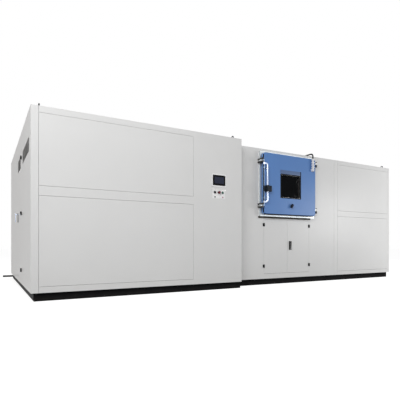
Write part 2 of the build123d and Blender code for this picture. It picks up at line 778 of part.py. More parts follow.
def make_rear():
    """Plain rear panels, and the louvred units that let air to the condenser."""
    at = LEFT_DEPTH
    parts = []
    field = CORNER_COVER + SEAM
    louvres_end = louvre_left(LOUVRE_COUNT)
    parts.append(pan("rear", at, field, LOUVRE_FIRST - SEAM, BASE_HEIGHT, LEFT_TOP, 1))
    parts.append(pan("rear", at, LOUVRE_FIRST, louvres_end - SEAM, BASE_HEIGHT, LOUVRE_LOW - SEAM, 2))
    parts.append(pan("rear", at, LOUVRE_FIRST, louvres_end - SEAM, LOUVRE_HIGH + SEAM, LEFT_TOP, 2))
    parts.append(pan("rear", at, louvres_end, LEFT_WIDTH - SEAM, BASE_HEIGHT, LEFT_TOP))
    start = LEFT_WIDTH
    end = TOTAL_WIDTH - CORNER_COVER - SEAM
    pitch = (end - start + SEAM) / 4
    for k in range(4):
        left = start + pitch * k
        parts.append(pan("rear", at, left, left + pitch - SEAM, BASE_HEIGHT, RIGHT_TOP, 1))
    save("rear_panels", *parts)

    units = []
    for k in range(LOUVRE_COUNT):
        u0 = louvre_left(k)
        u1 = u0 + LOUVRE_WIDTH
        unit = block(u0, u1, at - PAN_DEPTH, at, LOUVRE_LOW, LOUVRE_HIGH)
        unit -= block(
            u0 + LOUVRE_RIM, u1 - LOUVRE_RIM, at - PAN_DEPTH, at,
            LOUVRE_LOW + LOUVRE_RIM, LOUVRE_HIGH - LOUVRE_RIM,
        )
        count = int((LOUVRE_HIGH - LOUVRE_LOW - 2 * LOUVRE_RIM) / SLAT_PITCH)
        for n in range(count):
            z = LOUVRE_LOW + LOUVRE_RIM + SLAT_PITCH * (n + 0.5)
            slat = Pos((u0 + u1) / 2 - MID_U, at - PAN_DEPTH / 2 - MID_V, z) * Rot(-35, 0, 0)
            unit += slat * Box(LOUVRE_WIDTH - 2 * LOUVRE_RIM, PAN_DEPTH, SLAT_THICK)
        units.append(unit)
    save("rear_louvres", *units)


def make_control_panel():
    """The plain zone at the right of the left front, with its cutouts, and the plate round the screen."""
    half = HMI_WIDTH / 2
    body = HMI_BODY_MARGIN
    high = HMI_LOW + HMI_HEIGHT
    left, right = HMI_MIDDLE - half, HMI_MIDDLE + half
    surround = block(
        left - HMI_SURROUND, right + HMI_SURROUND, -HMI_SURROUND_THICK, 0,
        HMI_LOW - HMI_SURROUND, high + HMI_SURROUND,
    )
    window = block(left + body, right - body, -HMI_BODY_DEPTH, HMI_BODY_DEPTH, HMI_LOW + body, high - body)
    sheet = pan("front", 0, FIELD_RIGHT, LEFT_WIDTH, BASE_HEIGHT, LEFT_TOP) - window
    for u in (SELECTOR_U, ESTOP_U, START_U):
        sheet -= spigot(u, SWITCH_Z, 0, SHEET, SWITCH_HOLE)
    for u in LAMP_US:
        sheet -= spigot(u, LAMP_Z, 0, SHEET, LAMP_RADIUS - 1)
    save("control_panel", sheet, surround - window)

    bezel = block(left, right, -HMI_SURROUND_THICK - HMI_PROUD, -HMI_SURROUND_THICK, HMI_LOW, high)
    bezel = fillet(bezel.edges().filter_by(Axis.Y), 8)
    bezel += block(
        left + body, right - body, -HMI_SURROUND_THICK, HMI_BODY_DEPTH, HMI_LOW + body, high - body
    )
    front = -HMI_SURROUND_THICK - HMI_PROUD
    middle = HMI_LOW + HMI_HEIGHT / 2
    screen = block(
        HMI_MIDDLE - SCREEN_WIDTH / 2, HMI_MIDDLE + SCREEN_WIDTH / 2, front, front + SCREEN_THICK,
        middle - SCREEN_HEIGHT / 2, middle + SCREEN_HEIGHT / 2,
    )
    save("hmi_bezel", bezel - screen)
    save("hmi_screen", screen)


def make_switches():
    """Selector, emergency stop and start button, with their collars, and two lamps."""
    collars = []
    stem_end = CONTACT_DEPTH - 12
    for u in (SELECTOR_U, ESTOP_U, START_U):
        half = CONTACT_BLOCK / 2
        collar = spigot(u, SWITCH_Z, -COLLAR_PROUD, 0, COLLAR_RADIUS)
        collar += spigot(u, SWITCH_Z, 0, SHEET, SWITCH_HOLE)
        collar += block(u - half, u + half, SHEET, CONTACT_DEPTH, SWITCH_Z - half, SWITCH_Z + half)
        collar -= spigot(u, SWITCH_Z, -COLLAR_PROUD, CONTACT_DEPTH - 2, STEM_RADIUS + RUNNING_FIT)
        collars.append(collar)
    save("switch_collars", *collars)

    lamps = []
    for u in LAMP_US:
        lens = spigot(u, LAMP_Z, -LAMP_PROUD, 0, LAMP_RADIUS)
        lens = chamfer(lens.faces().sort_by(Axis.Y)[0].edges(), LAMP_PROUD / 3)
        lamps.append(lens + spigot(u, LAMP_Z, 0, CONTACT_DEPTH, LAMP_RADIUS - 1))
    save("indicator_lamps", *lamps)

    rest_gap = ESTOP_TRAVEL + 4
    cap = spigot(ESTOP_U, SWITCH_Z, -ESTOP_REACH, -COLLAR_PROUD - rest_gap, ESTOP_RADIUS)
    cap = chamfer(cap.faces().sort_by(Axis.Y)[0].edges(), ESTOP_CROWN, ESTOP_CROWN * 2)
    stem = stem_end - ESTOP_TRAVEL
    save("estop_button", cap + spigot(ESTOP_U, SWITCH_Z, -COLLAR_PROUD - rest_gap, stem, STEM_RADIUS))

    face = -COLLAR_PROUD - START_PROUD
    cap = spigot(START_U, SWITCH_Z, face, -COLLAR_PROUD - START_TRAVEL - 1, START_RADIUS)
    cap += spigot(START_U, SWITCH_Z, face + 1, stem_end - START_TRAVEL, STEM_RADIUS)
    save("start_button", cap)

    face = -COLLAR_PROUD - SELECTOR_PROUD
    knob = spigot(SELECTOR_U, SWITCH_Z, face + 8, -COLLAR_PROUD - TOUCH_GAP, SELECTOR_RADIUS)
    knob += block(
        SELECTOR_U - 4, SELECTOR_U + 4, face, face + 8,
        SWITCH_Z - SELECTOR_RADIUS + 1, SWITCH_Z + SELECTOR_RADIUS - 1,
    )
    knob += spigot(SELECTOR_U, SWITCH_Z, -COLLAR_PROUD - TOUCH_GAP, stem_end, STEM_RADIUS)
    save("selector_knob", knob)


def make_test_space():
    """Front wall at the door, raised door frame, stainless liner, insulation, baffle and shelf."""
    at = RIGHT_FRONT
    left, right, low, high = SPACE_LEFT, SPACE_RIGHT, SPACE_LOW, SPACE_HIGH
    leaf_head = LEAF_HIGH + LEAF_GAP
    wall = [
        pan("front", at, LEFT_WIDTH, left, BASE_HEIGHT, RIGHT_TOP),
        pan("front", at, right, END_POST_LEFT, BASE_HEIGHT, RIGHT_TOP),
        pan("front", at, left, right, high, RIGHT_TOP),
        pan("front", at, left, right, leaf_head, low),
        pan("front", at, left, right, BASE_HEIGHT, LEAF_LOW - LEAF_GAP),
    ]
    save("chamber_front_wall", *wall)

    frame = [
        block(FRAME_LEFT, left, FRAME_FRONT, at, FRAME_LOW, FRAME_HIGH),
        block(right, FRAME_RIGHT, FRAME_FRONT, at, FRAME_LOW, FRAME_HIGH),
        block(left, right, FRAME_FRONT, at, high, FRAME_HIGH),
        block(left, right, FRAME_FRONT, at, FRAME_LOW, low),
    ]
    jaw_middle = KEEPER_MOUTH
    for z in NOSE_HEIGHTS:
        frame.append(block(
            KEEPER_LEFT + 4, KEEPER_RIGHT - 4, KEEPER_THROAT + KEEPER_SPACER, FRAME_FRONT,
            z - jaw_middle, z + jaw_middle,
        ))
    save("door_frame", *frame)

    front = at + PAN_DEPTH
    back = SPACE_BACK
    fan_v = back + SHEET
    shaft_clear = FAN_SHAFT + 4
    fan_u = SPACE_MIDDLE
    rear_sheet = block(left, right, back, fan_v, low, high) - spigot(
        fan_u, WHEEL_Z, back, fan_v, shaft_clear
    )
    liner = [
        block(left - SHEET, left, front, fan_v, low - SHEET, high + SHEET),
        block(right, right + SHEET, front, fan_v, low - SHEET, high + SHEET),
        block(left, right, front, fan_v, high, high + SHEET),
        block(left, right, front, fan_v, low - SHEET, low),
        rear_sheet,
    ]
    runner = SHELF_RUNNER
    for u0, u1 in ((left, left + runner), (right - runner, right)):
        liner.append(block(u0, u1, front + 60, BAFFLE_V - 10, SHELF_Z - runner, SHELF_Z))
    save("chamber_liner", *liner)

    thick = INSULATION
    inner_left, inner_right = left - SHEET, right + SHEET
    inner_low, inner_high = low - SHEET, high + SHEET
    rear = fan_v + thick
    back_slab = block(inner_left, inner_right, fan_v, rear, inner_low, inner_high)
    save(
        "chamber_insulation",
        block(inner_left - thick, inner_left, front, rear, inner_low - thick, inner_high),
        block(inner_right, inner_right + thick, front, rear, inner_low - thick, inner_high),
        block(inner_left, inner_right, front, rear, inner_low - thick, inner_low),
        block(inner_left, inner_right, front + POST, rear, inner_high, right_rail_low()),
        back_slab - spigot(fan_u, WHEEL_Z, fan_v, rear, shaft_clear),
    )

    baffle = block(left, right, BAFFLE_V, BAFFLE_V + SHEET, low + BAFFLE_SLOT, high - BAFFLE_SLOT)
    baffle -= spigot(fan_u, WHEEL_Z, BAFFLE_V, BAFFLE_V + SHEET, WHEEL_RADIUS * 0.8)
    save("air_baffle", baffle)

    shelf_left, shelf_right = left + SHELF_PLAY, right - SHELF_PLAY
    shelf_front, shelf_back = front + 70, BAFFLE_V - 20
    bar = SHELF_BAR
    shelf = block(shelf_left, shelf_right, shelf_front, shelf_back, SHELF_Z, SHELF_Z + bar)
    shelf -= block(
        shelf_left + bar, shelf_right - bar, shelf_front + bar, shelf_back - bar,
        SHELF_Z, SHELF_Z + bar,
    )
    pitch = (shelf_right - shelf_left) / (SHELF_BARS + 1)
    for k in range(SHELF_BARS):
        middle = shelf_left + pitch * (k + 1)
        shelf += block(middle - bar / 2, middle + bar / 2, shelf_front, shelf_back, SHELF_Z, SHELF_Z + bar)
    save("shelf", shelf)


def right_rail_low():
    """The underside of the right housing's top rails."""
    return RIGHT_TOP - PAN_DEPTH - POST


def make_air_handling():
    """Coils behind the baffle, the circulation fan on its shaft, and its motor outside."""
    left, right = SPACE_LEFT, SPACE_RIGHT
    fan_u = SPACE_MIDDLE
    wheel_front = BAFFLE_V + SHEET + 12
    coil_top = WHEEL_Z - WHEEL_RADIUS - 60
    coils = [block(
        left + COIL_MARGIN, right - COIL_MARGIN, BAFFLE_V + 15, SPACE_BACK - 5, SPACE_LOW, coil_top
    )]
    coil_v = (BAFFLE_V + SPACE_BACK) / 2
    for drop in HEATER_DROPS:
        coils.append(crossbar(coil_v, SPACE_HIGH - drop, left, right, HEATER_RADIUS))
    save("air_coils", *coils)

    wheel = spigot(fan_u, WHEEL_Z, wheel_front + WHEEL_DEPTH - 3, wheel_front + WHEEL_DEPTH, WHEEL_RADIUS)
    ring = spigot(fan_u, WHEEL_Z, wheel_front, wheel_front + 3, WHEEL_RADIUS)
    ring -= spigot(fan_u, WHEEL_Z, wheel_front, wheel_front + 3, WHEEL_RADIUS * 0.7)
    wheel += ring
    for k in range(WHEEL_BLADES):
        angle = 360 / WHEEL_BLADES * k
        place = Pos(fan_u - MID_U, wheel_front + WHEEL_DEPTH / 2 - MID_V, WHEEL_Z) * Rot(0, angle, 0)
        place = place * Pos(WHEEL_RADIUS * 0.84, 0, 0) * Rot(0, 35, 0)
        wheel += place * Box(WHEEL_RADIUS * 0.26, WHEEL_DEPTH - 2, 3)
    insulation_back = SPACE_BACK + SHEET + INSULATION
    shaft_end = insulation_back + SHAFT_REACH
    wheel += spigot(fan_u, WHEEL_Z, wheel_front + WHEEL_DEPTH - 30, shaft_end, FAN_SHAFT)
    save("circulation_fan", wheel)

    plate_back = insulation_back + MOTOR_PLATE_THICK
    plate = block(
        fan_u - MOTOR_PLATE, fan_u + MOTOR_PLATE, insulation_back, plate_back,
        WHEEL_Z - MOTOR_PLATE, WHEEL_Z + MOTOR_PLATE,
    )
    motor = spigot(fan_u, WHEEL_Z, plate_back, plate_back + MOTOR_LENGTH, MOTOR_RADIUS) + plate
    motor -= spigot(fan_u, WHEEL_Z, insulation_back, shaft_end + SHAFT_END_PLAY, FAN_SHAFT + RUNNING_FIT)
    save("fan_motor", motor)


def make_machinery():
    """Compressors, condenser with its fan, and the electrical plate in the left housing."""
    floor = BASE_HEIGHT + FLOOR_PLATE
    machines = []
    for u in COMPRESSOR_US:
        low = floor + COMPRESSOR_FOOT
        shell = post(u, COMPRESSOR_V, low, low + COMPRESSOR_HEIGHT, COMPRESSOR_RADIUS)
        shell = chamfer(shell.faces().sort_by(Axis.Z)[-1].edges(), COMPRESSOR_DOME)
        foot = COMPRESSOR_RADIUS + COMPRESSOR_FLANGE
        shell += block(u - foot, u + foot, COMPRESSOR_V - foot, COMPRESSOR_V + foot, floor, low)
        machines.append(shell)
    save("compressors", *machines)

    u0 = LOUVRE_FIRST
    u1 = louvre_left(LOUVRE_COUNT) - SEAM
    rear = LEFT_DEPTH - SKELETON
    coil = block(u0, u1, rear - COIL_THICK, rear, LOUVRE_LOW, LOUVRE_HIGH)
    stand = [
        block(u, u + POST, rear - COIL_THICK, rear, floor, LOUVRE_LOW) for u in (u0, u1 - POST)
    ]
    fan_v = rear - COIL_THICK - FAN_DEPTH - CONDENSER_PLAY
    shroud_front = fan_v - SHROUD_FRONT
    half = FAN_RADIUS + SHROUD_RIM
    shroud_low = CONDENSER_FAN_Z - half
    shroud_high = CONDENSER_FAN_Z + half
    plate = block(
        CONDENSER_FAN_U - half, CONDENSER_FAN_U + half, shroud_front, rear - COIL_THICK,
        shroud_low, shroud_high,
    ) - spigot(CONDENSER_FAN_U, CONDENSER_FAN_Z, shroud_front, rear - COIL_THICK,
             FAN_RADIUS + SHROUD_CLEAR)
    motor_front = shroud_front - FAN_MOTOR_LENGTH
    bridge = spigot(CONDENSER_FAN_U, CONDENSER_FAN_Z, motor_front, shroud_front, FAN_HUB)
    bridge += block(
        CONDENSER_FAN_U - half, CONDENSER_FAN_U + half, shroud_front - FAN_SPOKE_THICK, shroud_front,
        CONDENSER_FAN_Z - FAN_SPOKE / 2, CONDENSER_FAN_Z + FAN_SPOKE / 2,
    )
    shaft_low = shroud_front - FAN_SPINDLE_DEPTH
    bridge -= spigot(
        CONDENSER_FAN_U, CONDENSER_FAN_Z, shaft_low - SHAFT_END_PLAY, shroud_front,
        FAN_SPINDLE + RUNNING_FIT,
    )
    save("condenser", coil, *stand, plate, bridge)

    blades = spigot(CONDENSER_FAN_U, CONDENSER_FAN_Z, fan_v, fan_v + FAN_DEPTH, FAN_HUB)
    blades += spigot(CONDENSER_FAN_U, CONDENSER_FAN_Z, shaft_low, fan_v, FAN_SPINDLE)
    span = FAN_RADIUS - FAN_HUB + BLADE_ROOT
    for k in range(FAN_BLADES):
        place = Pos(CONDENSER_FAN_U - MID_U, fan_v + FAN_DEPTH / 2 - MID_V, CONDENSER_FAN_Z)
        place = place * Rot(0, 360 / FAN_BLADES * k, 0) * Pos(FAN_HUB - BLADE_ROOT + span / 2, 0, 0)
        blades += place * Rot(BLADE_PITCH, 0, 0) * Box(span, BLADE_THICK, BLADE_WIDTH)
    save("condenser_fan", blades)

    plate_left = FIELD_RIGHT - POST / 2
    plate_right = LEFT_WIDTH - PAN_DEPTH
    face = SKELETON + BOARD_THICK
    board = block(plate_left, plate_right, SKELETON, face, BOARD_LOW, BOARD_HIGH)
    left, right = plate_left + BOARD_MARGIN, plate_right - BOARD_MARGIN
    for z, height, depth in BOARD_ROWS:
        board += block(left, right, face, face + depth, z, z + height)
    save("electrical_plate", board)


def rounded_front(u0, u1, z0, z1, corner):
    """A rounded rectangle of the front view, with its middle."""
    return RectangleRounded(u1 - u0, z1 - z0, corner), (u0 + u1) / 2, (z0 + z1) / 2


def make_main_door():
    """The blue door: outer skin, foam core, stainless inner pan, window, gasket."""
    window_right = WINDOW_LEFT + WINDOW_WIDTH
    window_high = WINDOW_LOW + WINDOW_HEIGHT
    glass = (
        WINDOW_LEFT + WINDOW_BORDER, window_right - WINDOW_BORDER,
        WINDOW_LOW + WINDOW_BORDER, window_high - WINDOW_BORDER,
    )
    sketch, u, z = rounded_front(DOOR_LEFT, DOOR_RIGHT, DOOR_LOW, DOOR_HIGH, DOOR_CORNER)
    skin = front_plate(sketch, u, z, DOOR_BACK, DOOR_DEPTH)
    skin = fillet(skin.faces().sort_by(Axis.Y)[0].edges(), DOOR_EDGE)
    inner_sketch = RectangleRounded(
        DOOR_WIDTH - 2 * SHEET, DOOR_HEIGHT - 2 * SHEET, DOOR_CORNER - SHEET
    )
    hollow = front_plate(inner_sketch, u, z, DOOR_BACK, DOOR_DEPTH - SHEET)
    hollow = fillet(hollow.faces().sort_by(Axis.Y)[0].edges(), DOOR_EDGE - SHEET)
    window_cut = block(glass[0] - SHEET, glass[1] + SHEET, DOOR_FRONT - 1, PLUG_BACK + 1,
                       glass[2] - SHEET, glass[3] + SHEET)
    wiper_cut = spigot(WIPER_U, WIPER_Z, DOOR_FRONT - 1, PLUG_BACK + 1, WIPER_SLEEVE)
    skin -= hollow
    save("door_skin", skin - window_cut - wiper_cut)

    plug = (
        SPACE_LEFT + PLUG_GAP, SPACE_RIGHT - PLUG_GAP, SPACE_LOW + PLUG_GAP, SPACE_HIGH - PLUG_GAP
    )
    cover = front_plate(inner_sketch, u, z, DOOR_BACK, SHEET)
    pan_outer = block(plug[0], plug[1], DOOR_BACK - SHEET, PLUG_BACK, plug[2], plug[3])
    pan_inner = block(
        plug[0] + SHEET, plug[1] - SHEET, DOOR_BACK - SHEET, PLUG_BACK - SHEET,
        plug[2] + SHEET, plug[3] - SHEET,
    )
    liner = cover + pan_outer - pan_inner - window_cut - wiper_cut
    sleeve_front = DOOR_FRONT + SHEET
    sleeve = block(glass[0] - SHEET, glass[1] + SHEET, sleeve_front, PLUG_BACK,
                   glass[2] - SHEET, glass[3] + SHEET)
    sleeve -= block(glass[0], glass[1], sleeve_front, PLUG_BACK, glass[2], glass[3])
    bush = spigot(WIPER_U, WIPER_Z, sleeve_front, PLUG_BACK, WIPER_SLEEVE)
    bush -= spigot(WIPER_U, WIPER_Z, sleeve_front, PLUG_BACK, WIPER_SHAFT + RUNNING_FIT)
    save("door_liner", liner, sleeve, bush)

    core = hollow - front_plate(inner_sketch, u, z, DOOR_BACK, SHEET)
    core += block(
        plug[0] + SHEET, plug[1] - SHEET, DOOR_BACK - SHEET, PLUG_BACK - SHEET,
        plug[2] + SHEET, plug[3] - SHEET,
    )
    save("door_core", core - window_cut - wiper_cut)

    ring = block(WINDOW_LEFT, window_right, DOOR_FRONT - WINDOW_RING_PROUD, DOOR_FRONT,
                 WINDOW_LOW, window_high)
    ring = fillet(ring.edges().filter_by(Axis.Y), WINDOW_CORNER)
    ring += block(glass[0] - SHEET, glass[1] + SHEET, DOOR_FRONT, sleeve_front,
                  glass[2] - SHEET, glass[3] + SHEET)
    ring -= block(glass[0], glass[1], DOOR_FRONT - WINDOW_RING_PROUD, sleeve_front, glass[2], glass[3])
    save("window_frame", ring)

    pane_front = DOOR_FRONT + OUTER_PANE_DEPTH
    save(
        "window_panes",
        block(glass[0], glass[1], pane_front, pane_front + PANE, glass[2], glass[3]),
        block(glass[0], glass[1], PLUG_BACK - PANE, PLUG_BACK, glass[2], glass[3]),
    )

    inset = GASKET_INSET
    outer = block(
        SPACE_LEFT - inset - GASKET_WIDTH, SPACE_RIGHT + inset + GASKET_WIDTH,
        DOOR_BACK, FRAME_FRONT - TOUCH_GAP,
        SPACE_LOW - inset - GASKET_WIDTH, SPACE_HIGH + inset + GASKET_WIDTH,
    )
    outer = fillet(outer.edges().filter_by(Axis.Y), GASKET_CORNER)
    outer -= block(
        SPACE_LEFT - inset, SPACE_RIGHT + inset, DOOR_BACK, FRAME_FRONT,
        SPACE_LOW - inset, SPACE_HIGH + inset,
    )
    save("door_gasket", outer)


def make_main_hinges():
    """Two lift-off hinges: bracket and pin on the wall, knuckle and leaf on the door."""
    wall_side = []
    door_side = []
    for z in HINGE_HEIGHTS:
        low, high = z - HINGE_KNUCKLE_HEIGHT, z + HINGE_KNUCKLE_HEIGHT
        bracket = post(HINGE_U, HINGE_V, low, z - TOUCH_GAP, HINGE_KNUCKLE)
        bracket += block(FRAME_RIGHT, HINGE_U + HINGE_WEB, HINGE_V, RIGHT_FRONT, low, z - TOUCH_GAP)
        bracket += block(
            FRAME_RIGHT, HINGE_U + HINGE_FOOT, RIGHT_FRONT - HINGE_LEAF, RIGHT_FRONT, low, high
        )
        pin = post(HINGE_U, HINGE_V, low, high + TOUCH_GAP, HINGE_PIN)
        pin += post(HINGE_U, HINGE_V, high + TOUCH_GAP, high + HINGE_CAP_HEIGHT, HINGE_CAP)
        wall_side.append(bracket - post(HINGE_U, HINGE_V, low, z, HINGE_PIN))
        wall_side.append(pin)
        knuckle = post(HINGE_U, HINGE_V, z, high, HINGE_KNUCKLE)
        knuckle += block(DOOR_RIGHT, HINGE_U, HINGE_V - HINGE_LEAF, HINGE_V + HINGE_LEAF, z, high)
        knuckle += block(
            DOOR_RIGHT, DOOR_RIGHT + HINGE_LEAF, DOOR_FRONT + DOOR_EDGE + 2, DOOR_BACK, z, high
        )
        door_side.append(knuckle - post(HINGE_U, HINGE_V, z, high, HINGE_PIN + RUNNING_FIT))
    save("door_hinge_brackets", *wall_side)
    save("door_hinge_leaves", *door_side)


def make_door_lock():
    """Rod with noses, keepers, rod brackets, grip bar, lock body, catch and push button."""
    rod = post(ROD_U, ROD_V, ROD_LOW, ROD_HIGH, ROD_RADIUS)
    keepers = []
    for z in NOSE_HEIGHTS:
        rod += block(ROD_U - NOSE_REACH, ROD_U, ROD_V - NOSE_THICK / 2, ROD_V + NOSE_THICK / 2,
                     z - NOSE_HALF, z + NOSE_HALF)
        for z0, z1 in ((z - KEEPER_HALF, z - KEEPER_MOUTH), (z + KEEPER_MOUTH, z + KEEPER_HALF)):
            cheek = block(KEEPER_LEFT, KEEPER_LEFT + KEEPER_JAW, KEEPER_FRONT, KEEPER_THROAT, z0, z1)
            cheek += block(KEEPER_LEFT, KEEPER_RIGHT, KEEPER_THROAT, FRAME_FRONT, z0, z1)
            cheek += block(KEEPER_LEFT, FRAME_LEFT, FRAME_FRONT, RIGHT_FRONT, z0, z1)
            keepers.append(cheek)
    save("lock_rod", rod)
    save("door_keepers", *keepers)

    bearings = []
    for z in (NOSE_HEIGHTS[0] + BRACKET_INSET, NOSE_HEIGHTS[1] - BRACKET_INSET):
        z0, z1 = z - BRACKET_HEIGHT / 2, z + BRACKET_HEIGHT / 2
        eye = post(ROD_U, ROD_V, z0, z1, ROD_RADIUS + BRACKET_WALL)
        web = ROD_V + BRACKET_WEB / 2
        foot_left = DOOR_LEFT + DOOR_EDGE + 3
        eye += block(ROD_U, foot_left + BRACKET_FOOT, web, web + BRACKET_WEB, z0, z1)
        eye += block(foot_left, foot_left + BRACKET_FOOT, web, DOOR_FRONT, z0, z1)
        bearings.append(eye - post(ROD_U, ROD_V, z0, z1, ROD_RADIUS + RUNNING_FIT))
    save("rod_brackets", *bearings)

    arm_low, arm_high = NOSE_HEIGHTS[0] + ARM_RISE, NOSE_HEIGHTS[1] - ARM_RISE
    points = [
        (ROD_U - MID_U, ROD_V - MID_V, arm_low), (GRIP_U - MID_U, GRIP_V - MID_V, arm_low),
        (GRIP_U - MID_U, GRIP_V - MID_V, arm_high), (ROD_U - MID_U, ROD_V - MID_V, arm_high),
    ]
    path = FilletPolyline(*points, radius=GRIP_BEND)
    start = Plane(origin=path @ 0, z_dir=path % 0)
    grip = sweep(start * Circle(GRIP_RADIUS), path=path)
    for z in (arm_low, arm_high):
        grip += post(ROD_U, ROD_V, z - HUB_HEIGHT / 2, z + HUB_HEIGHT / 2, HUB_RADIUS)
    save("grip_bar", grip - post(ROD_U, ROD_V, ROD_LOW, ROD_HIGH, ROD_RADIUS))

    low, high = LOCK_MIDDLE - LOCK_HEIGHT / 2, LOCK_MIDDLE + LOCK_HEIGHT / 2
    left = GRIP_U - LOCK_WIDTH / 2
    right = left + LOCK_WIDTH
    body = block(left, right, LOCK_FRONT, LOCK_BACK, low, high)
    body = fillet(body.edges().filter_by(Axis.Z), LOCK_CORNER)
    knob_low, knob_high = low + LOCK_END, high - LOCK_END
    body += post(ROD_U, ROD_V, knob_low, knob_high, LOCK_KNOB)
    body += block(ROD_U, left + LOCK_SINK, GRIP_V - 4, LOCK_BACK - 1, knob_low, knob_high)
    body -= post(ROD_U, ROD_V, low, high, ROD_RADIUS)
    body -= post(GRIP_U, GRIP_V, low, high, GRIP_RADIUS)
    socket = GRIP_V - GRIP_RADIUS - 1
    body -= spigot(GRIP_U, LOCK_MIDDLE, LOCK_FRONT - 1, socket, BUTTON_RADIUS + RUNNING_FIT)
    save("lock_body", body)
    save("lock_button", spigot(
        GRIP_U, LOCK_MIDDLE, LOCK_FRONT - BUTTON_PROUD, socket - BUTTON_TRAVEL - 0.5, BUTTON_RADIUS
    ))

    catch_left = right + CATCH_GAP
    catch = block(
        catch_left, catch_left + CATCH_WIDTH, LOCK_FRONT + CATCH_SETBACK, DOOR_FRONT,
        low + CATCH_GAP, high - CATCH_GAP,
    )
    save("lock_catch", fillet(catch.edges().filter_by(Axis.Y), CATCH_CORNER))


def make_wiper():
    """Winged knob and shaft outside, arm and blade inside, turned as one."""
    knob_back = DOOR_FRONT - WIPER_STANDOFF
    grip_front = knob_back - WIPER_GRIP_DEPTH
    knob = spigot(WIPER_U, WIPER_Z, knob_back, DOOR_FRONT - TOUCH_GAP, WIPER_NECK)
    knob += spigot(WIPER_U, WIPER_Z, grip_front + 6, knob_back, WIPER_HUB)
    wing = Box(WIPER_GRIP_LENGTH, WIPER_GRIP_DEPTH, WIPER_GRIP_WIDTH)
    wing = fillet(wing.edges().filter_by(Axis.Y), WIPER_GRIP_WIDTH * 0.4)
    middle = Pos(WIPER_U - MID_U, grip_front + WIPER_GRIP_DEPTH / 2 - MID_V, WIPER_Z)
    knob += middle * Rot(0, -WIPER_GRIP_TILT, 0) * wing
    shaft_end = PLUG_BACK + WIPER_BOSS_LENGTH
    knob += spigot(WIPER_U, WIPER_Z, DOOR_FRONT - WIPER_STANDOFF, shaft_end, WIPER_SHAFT)
    save("wiper_knob", knob)

    inner = PLUG_BACK + TOUCH_GAP
    arm = spigot(WIPER_U, WIPER_Z, inner, shaft_end, WIPER_BOSS)
    half = WIPER_ARM_WIDTH / 2
    blade_back = inner + 1 + WIPER_BLADE_DEPTH
    arm += block(
        WIPER_U - half, WIPER_U + half, blade_back, blade_back + WIPER_ARM_THICK,
        WIPER_Z, WIPER_Z + WIPER_ARM,
    )
    arm -= spigot(WIPER_U, WIPER_Z, inner, shaft_end, WIPER_SHAFT)
    half = WIPER_BLADE_WIDTH / 2
    top = WIPER_Z + WIPER_ARM
    arm += block(
        WIPER_U - half, WIPER_U + half, inner + 1, blade_back,
        top - WIPER_BLADE / 2, top + WIPER_BLADE / 2,
    )
    save("wiper_arm", arm)


def make_door_cable():
    """Cable from a gland on the roof, over the front edge, into a ribbed boot on the door."""
    level = RIGHT_TOP + CABLE_RISE
    start = CABLE_START_V - TOUCH_GAP
    points = [
        (CABLE_U - MID_U, start - MID_V, level), (CABLE_U - MID_U, BOOT_V - MID_V, level),
        (CABLE_U - MID_U, BOOT_V - MID_V, BOOT_TOP),
    ]
    path = FilletPolyline(*points, radius=CABLE_BEND)
    section = Plane(origin=path @ 0, z_dir=path % 0) * Circle(CABLE_RADIUS)
    save("door_cable", sweep(section, path=path))
    save("roof_cable_gland", block(
        CABLE_U - GLAND_WIDTH / 2, CABLE_U + GLAND_WIDTH / 2, CABLE_START_V,
        CABLE_START_V + GLAND_LENGTH, RIGHT_TOP, RIGHT_TOP + GLAND_HEIGHT,
    ))
    boot = post(CABLE_U, BOOT_V, BOOT_LOW, BOOT_TOP, BOOT_CORE)
    pitch = (BOOT_TOP - BOOT_LOW) / BOOT_RIBS
    for k in range(BOOT_RIBS):
        low = BOOT_LOW + pitch * (k + 0.2)
        boot += post(CABLE_U, BOOT_V, low, low + pitch * 0.6, BOOT_RADIUS)
    half = BOOT_FOOT_WIDTH / 2
    boot += block(
        CABLE_U - half, CABLE_U + half, BOOT_V, DOOR_FRONT, BOOT_LOW, BOOT_LOW + BOOT_FOOT_HEIGHT
    )
    save("door_cable_boot", boot)


def small_hinge(face, at, seam, z, opens):
    """One surface hinge over a seam: its fixed half with pin, and its moving half.

    opens is +1 or -1: the side of the seam, along the face, where the door is.
    """
    half = SMALL_HINGE_WIDTH / 2
    low, high = z - SMALL_HINGE_HEIGHT / 2, z + SMALL_HINGE_HEIGHT / 2
    third = SMALL_HINGE_HEIGHT / 3
    out = SMALL_HINGE_STANDOFF

    def barrel(z0, z1, radius):
        if face == "front":
            return post(seam, at - out, z0, z1, radius)
        return post(at - out, seam, z0, z1, radius)

    def piece(a0, a1, d0, d1, z0, z1):
        low_a, high_a = sorted((a0, a1))
        return behind(face, at, low_a, high_a, z0, z1, d0, d1)

    clear = SMALL_HINGE_KNUCKLE + 1
    plate = SMALL_HINGE_PLATE
    fixed = piece(seam - opens * half, seam - opens * 2, -plate, 0, low, high)
    moving = piece(seam + opens * half, seam + opens * 2, -plate, 0, low, high)
    for z0, z1 in ((low, low + third), (high - third, high)):
        fixed += piece(seam - opens * clear, seam, -out - 2, -plate, z0, z1)
        fixed += barrel(z0, z1, SMALL_HINGE_KNUCKLE)
    middle_low, middle_high = low + third + TOUCH_GAP, high - third - TOUCH_GAP
    moving += piece(seam + opens * clear, seam, -out - 2, -plate, middle_low, middle_high)
    moving += barrel(middle_low, middle_high, SMALL_HINGE_KNUCKLE)
    moving -= barrel(middle_low, middle_high, SMALL_HINGE_PIN + RUNNING_FIT)
    fixed -= barrel(middle_low, middle_high, SMALL_HINGE_PIN)
    fixed += barrel(low, high, SMALL_HINGE_PIN)
    return fixed, moving


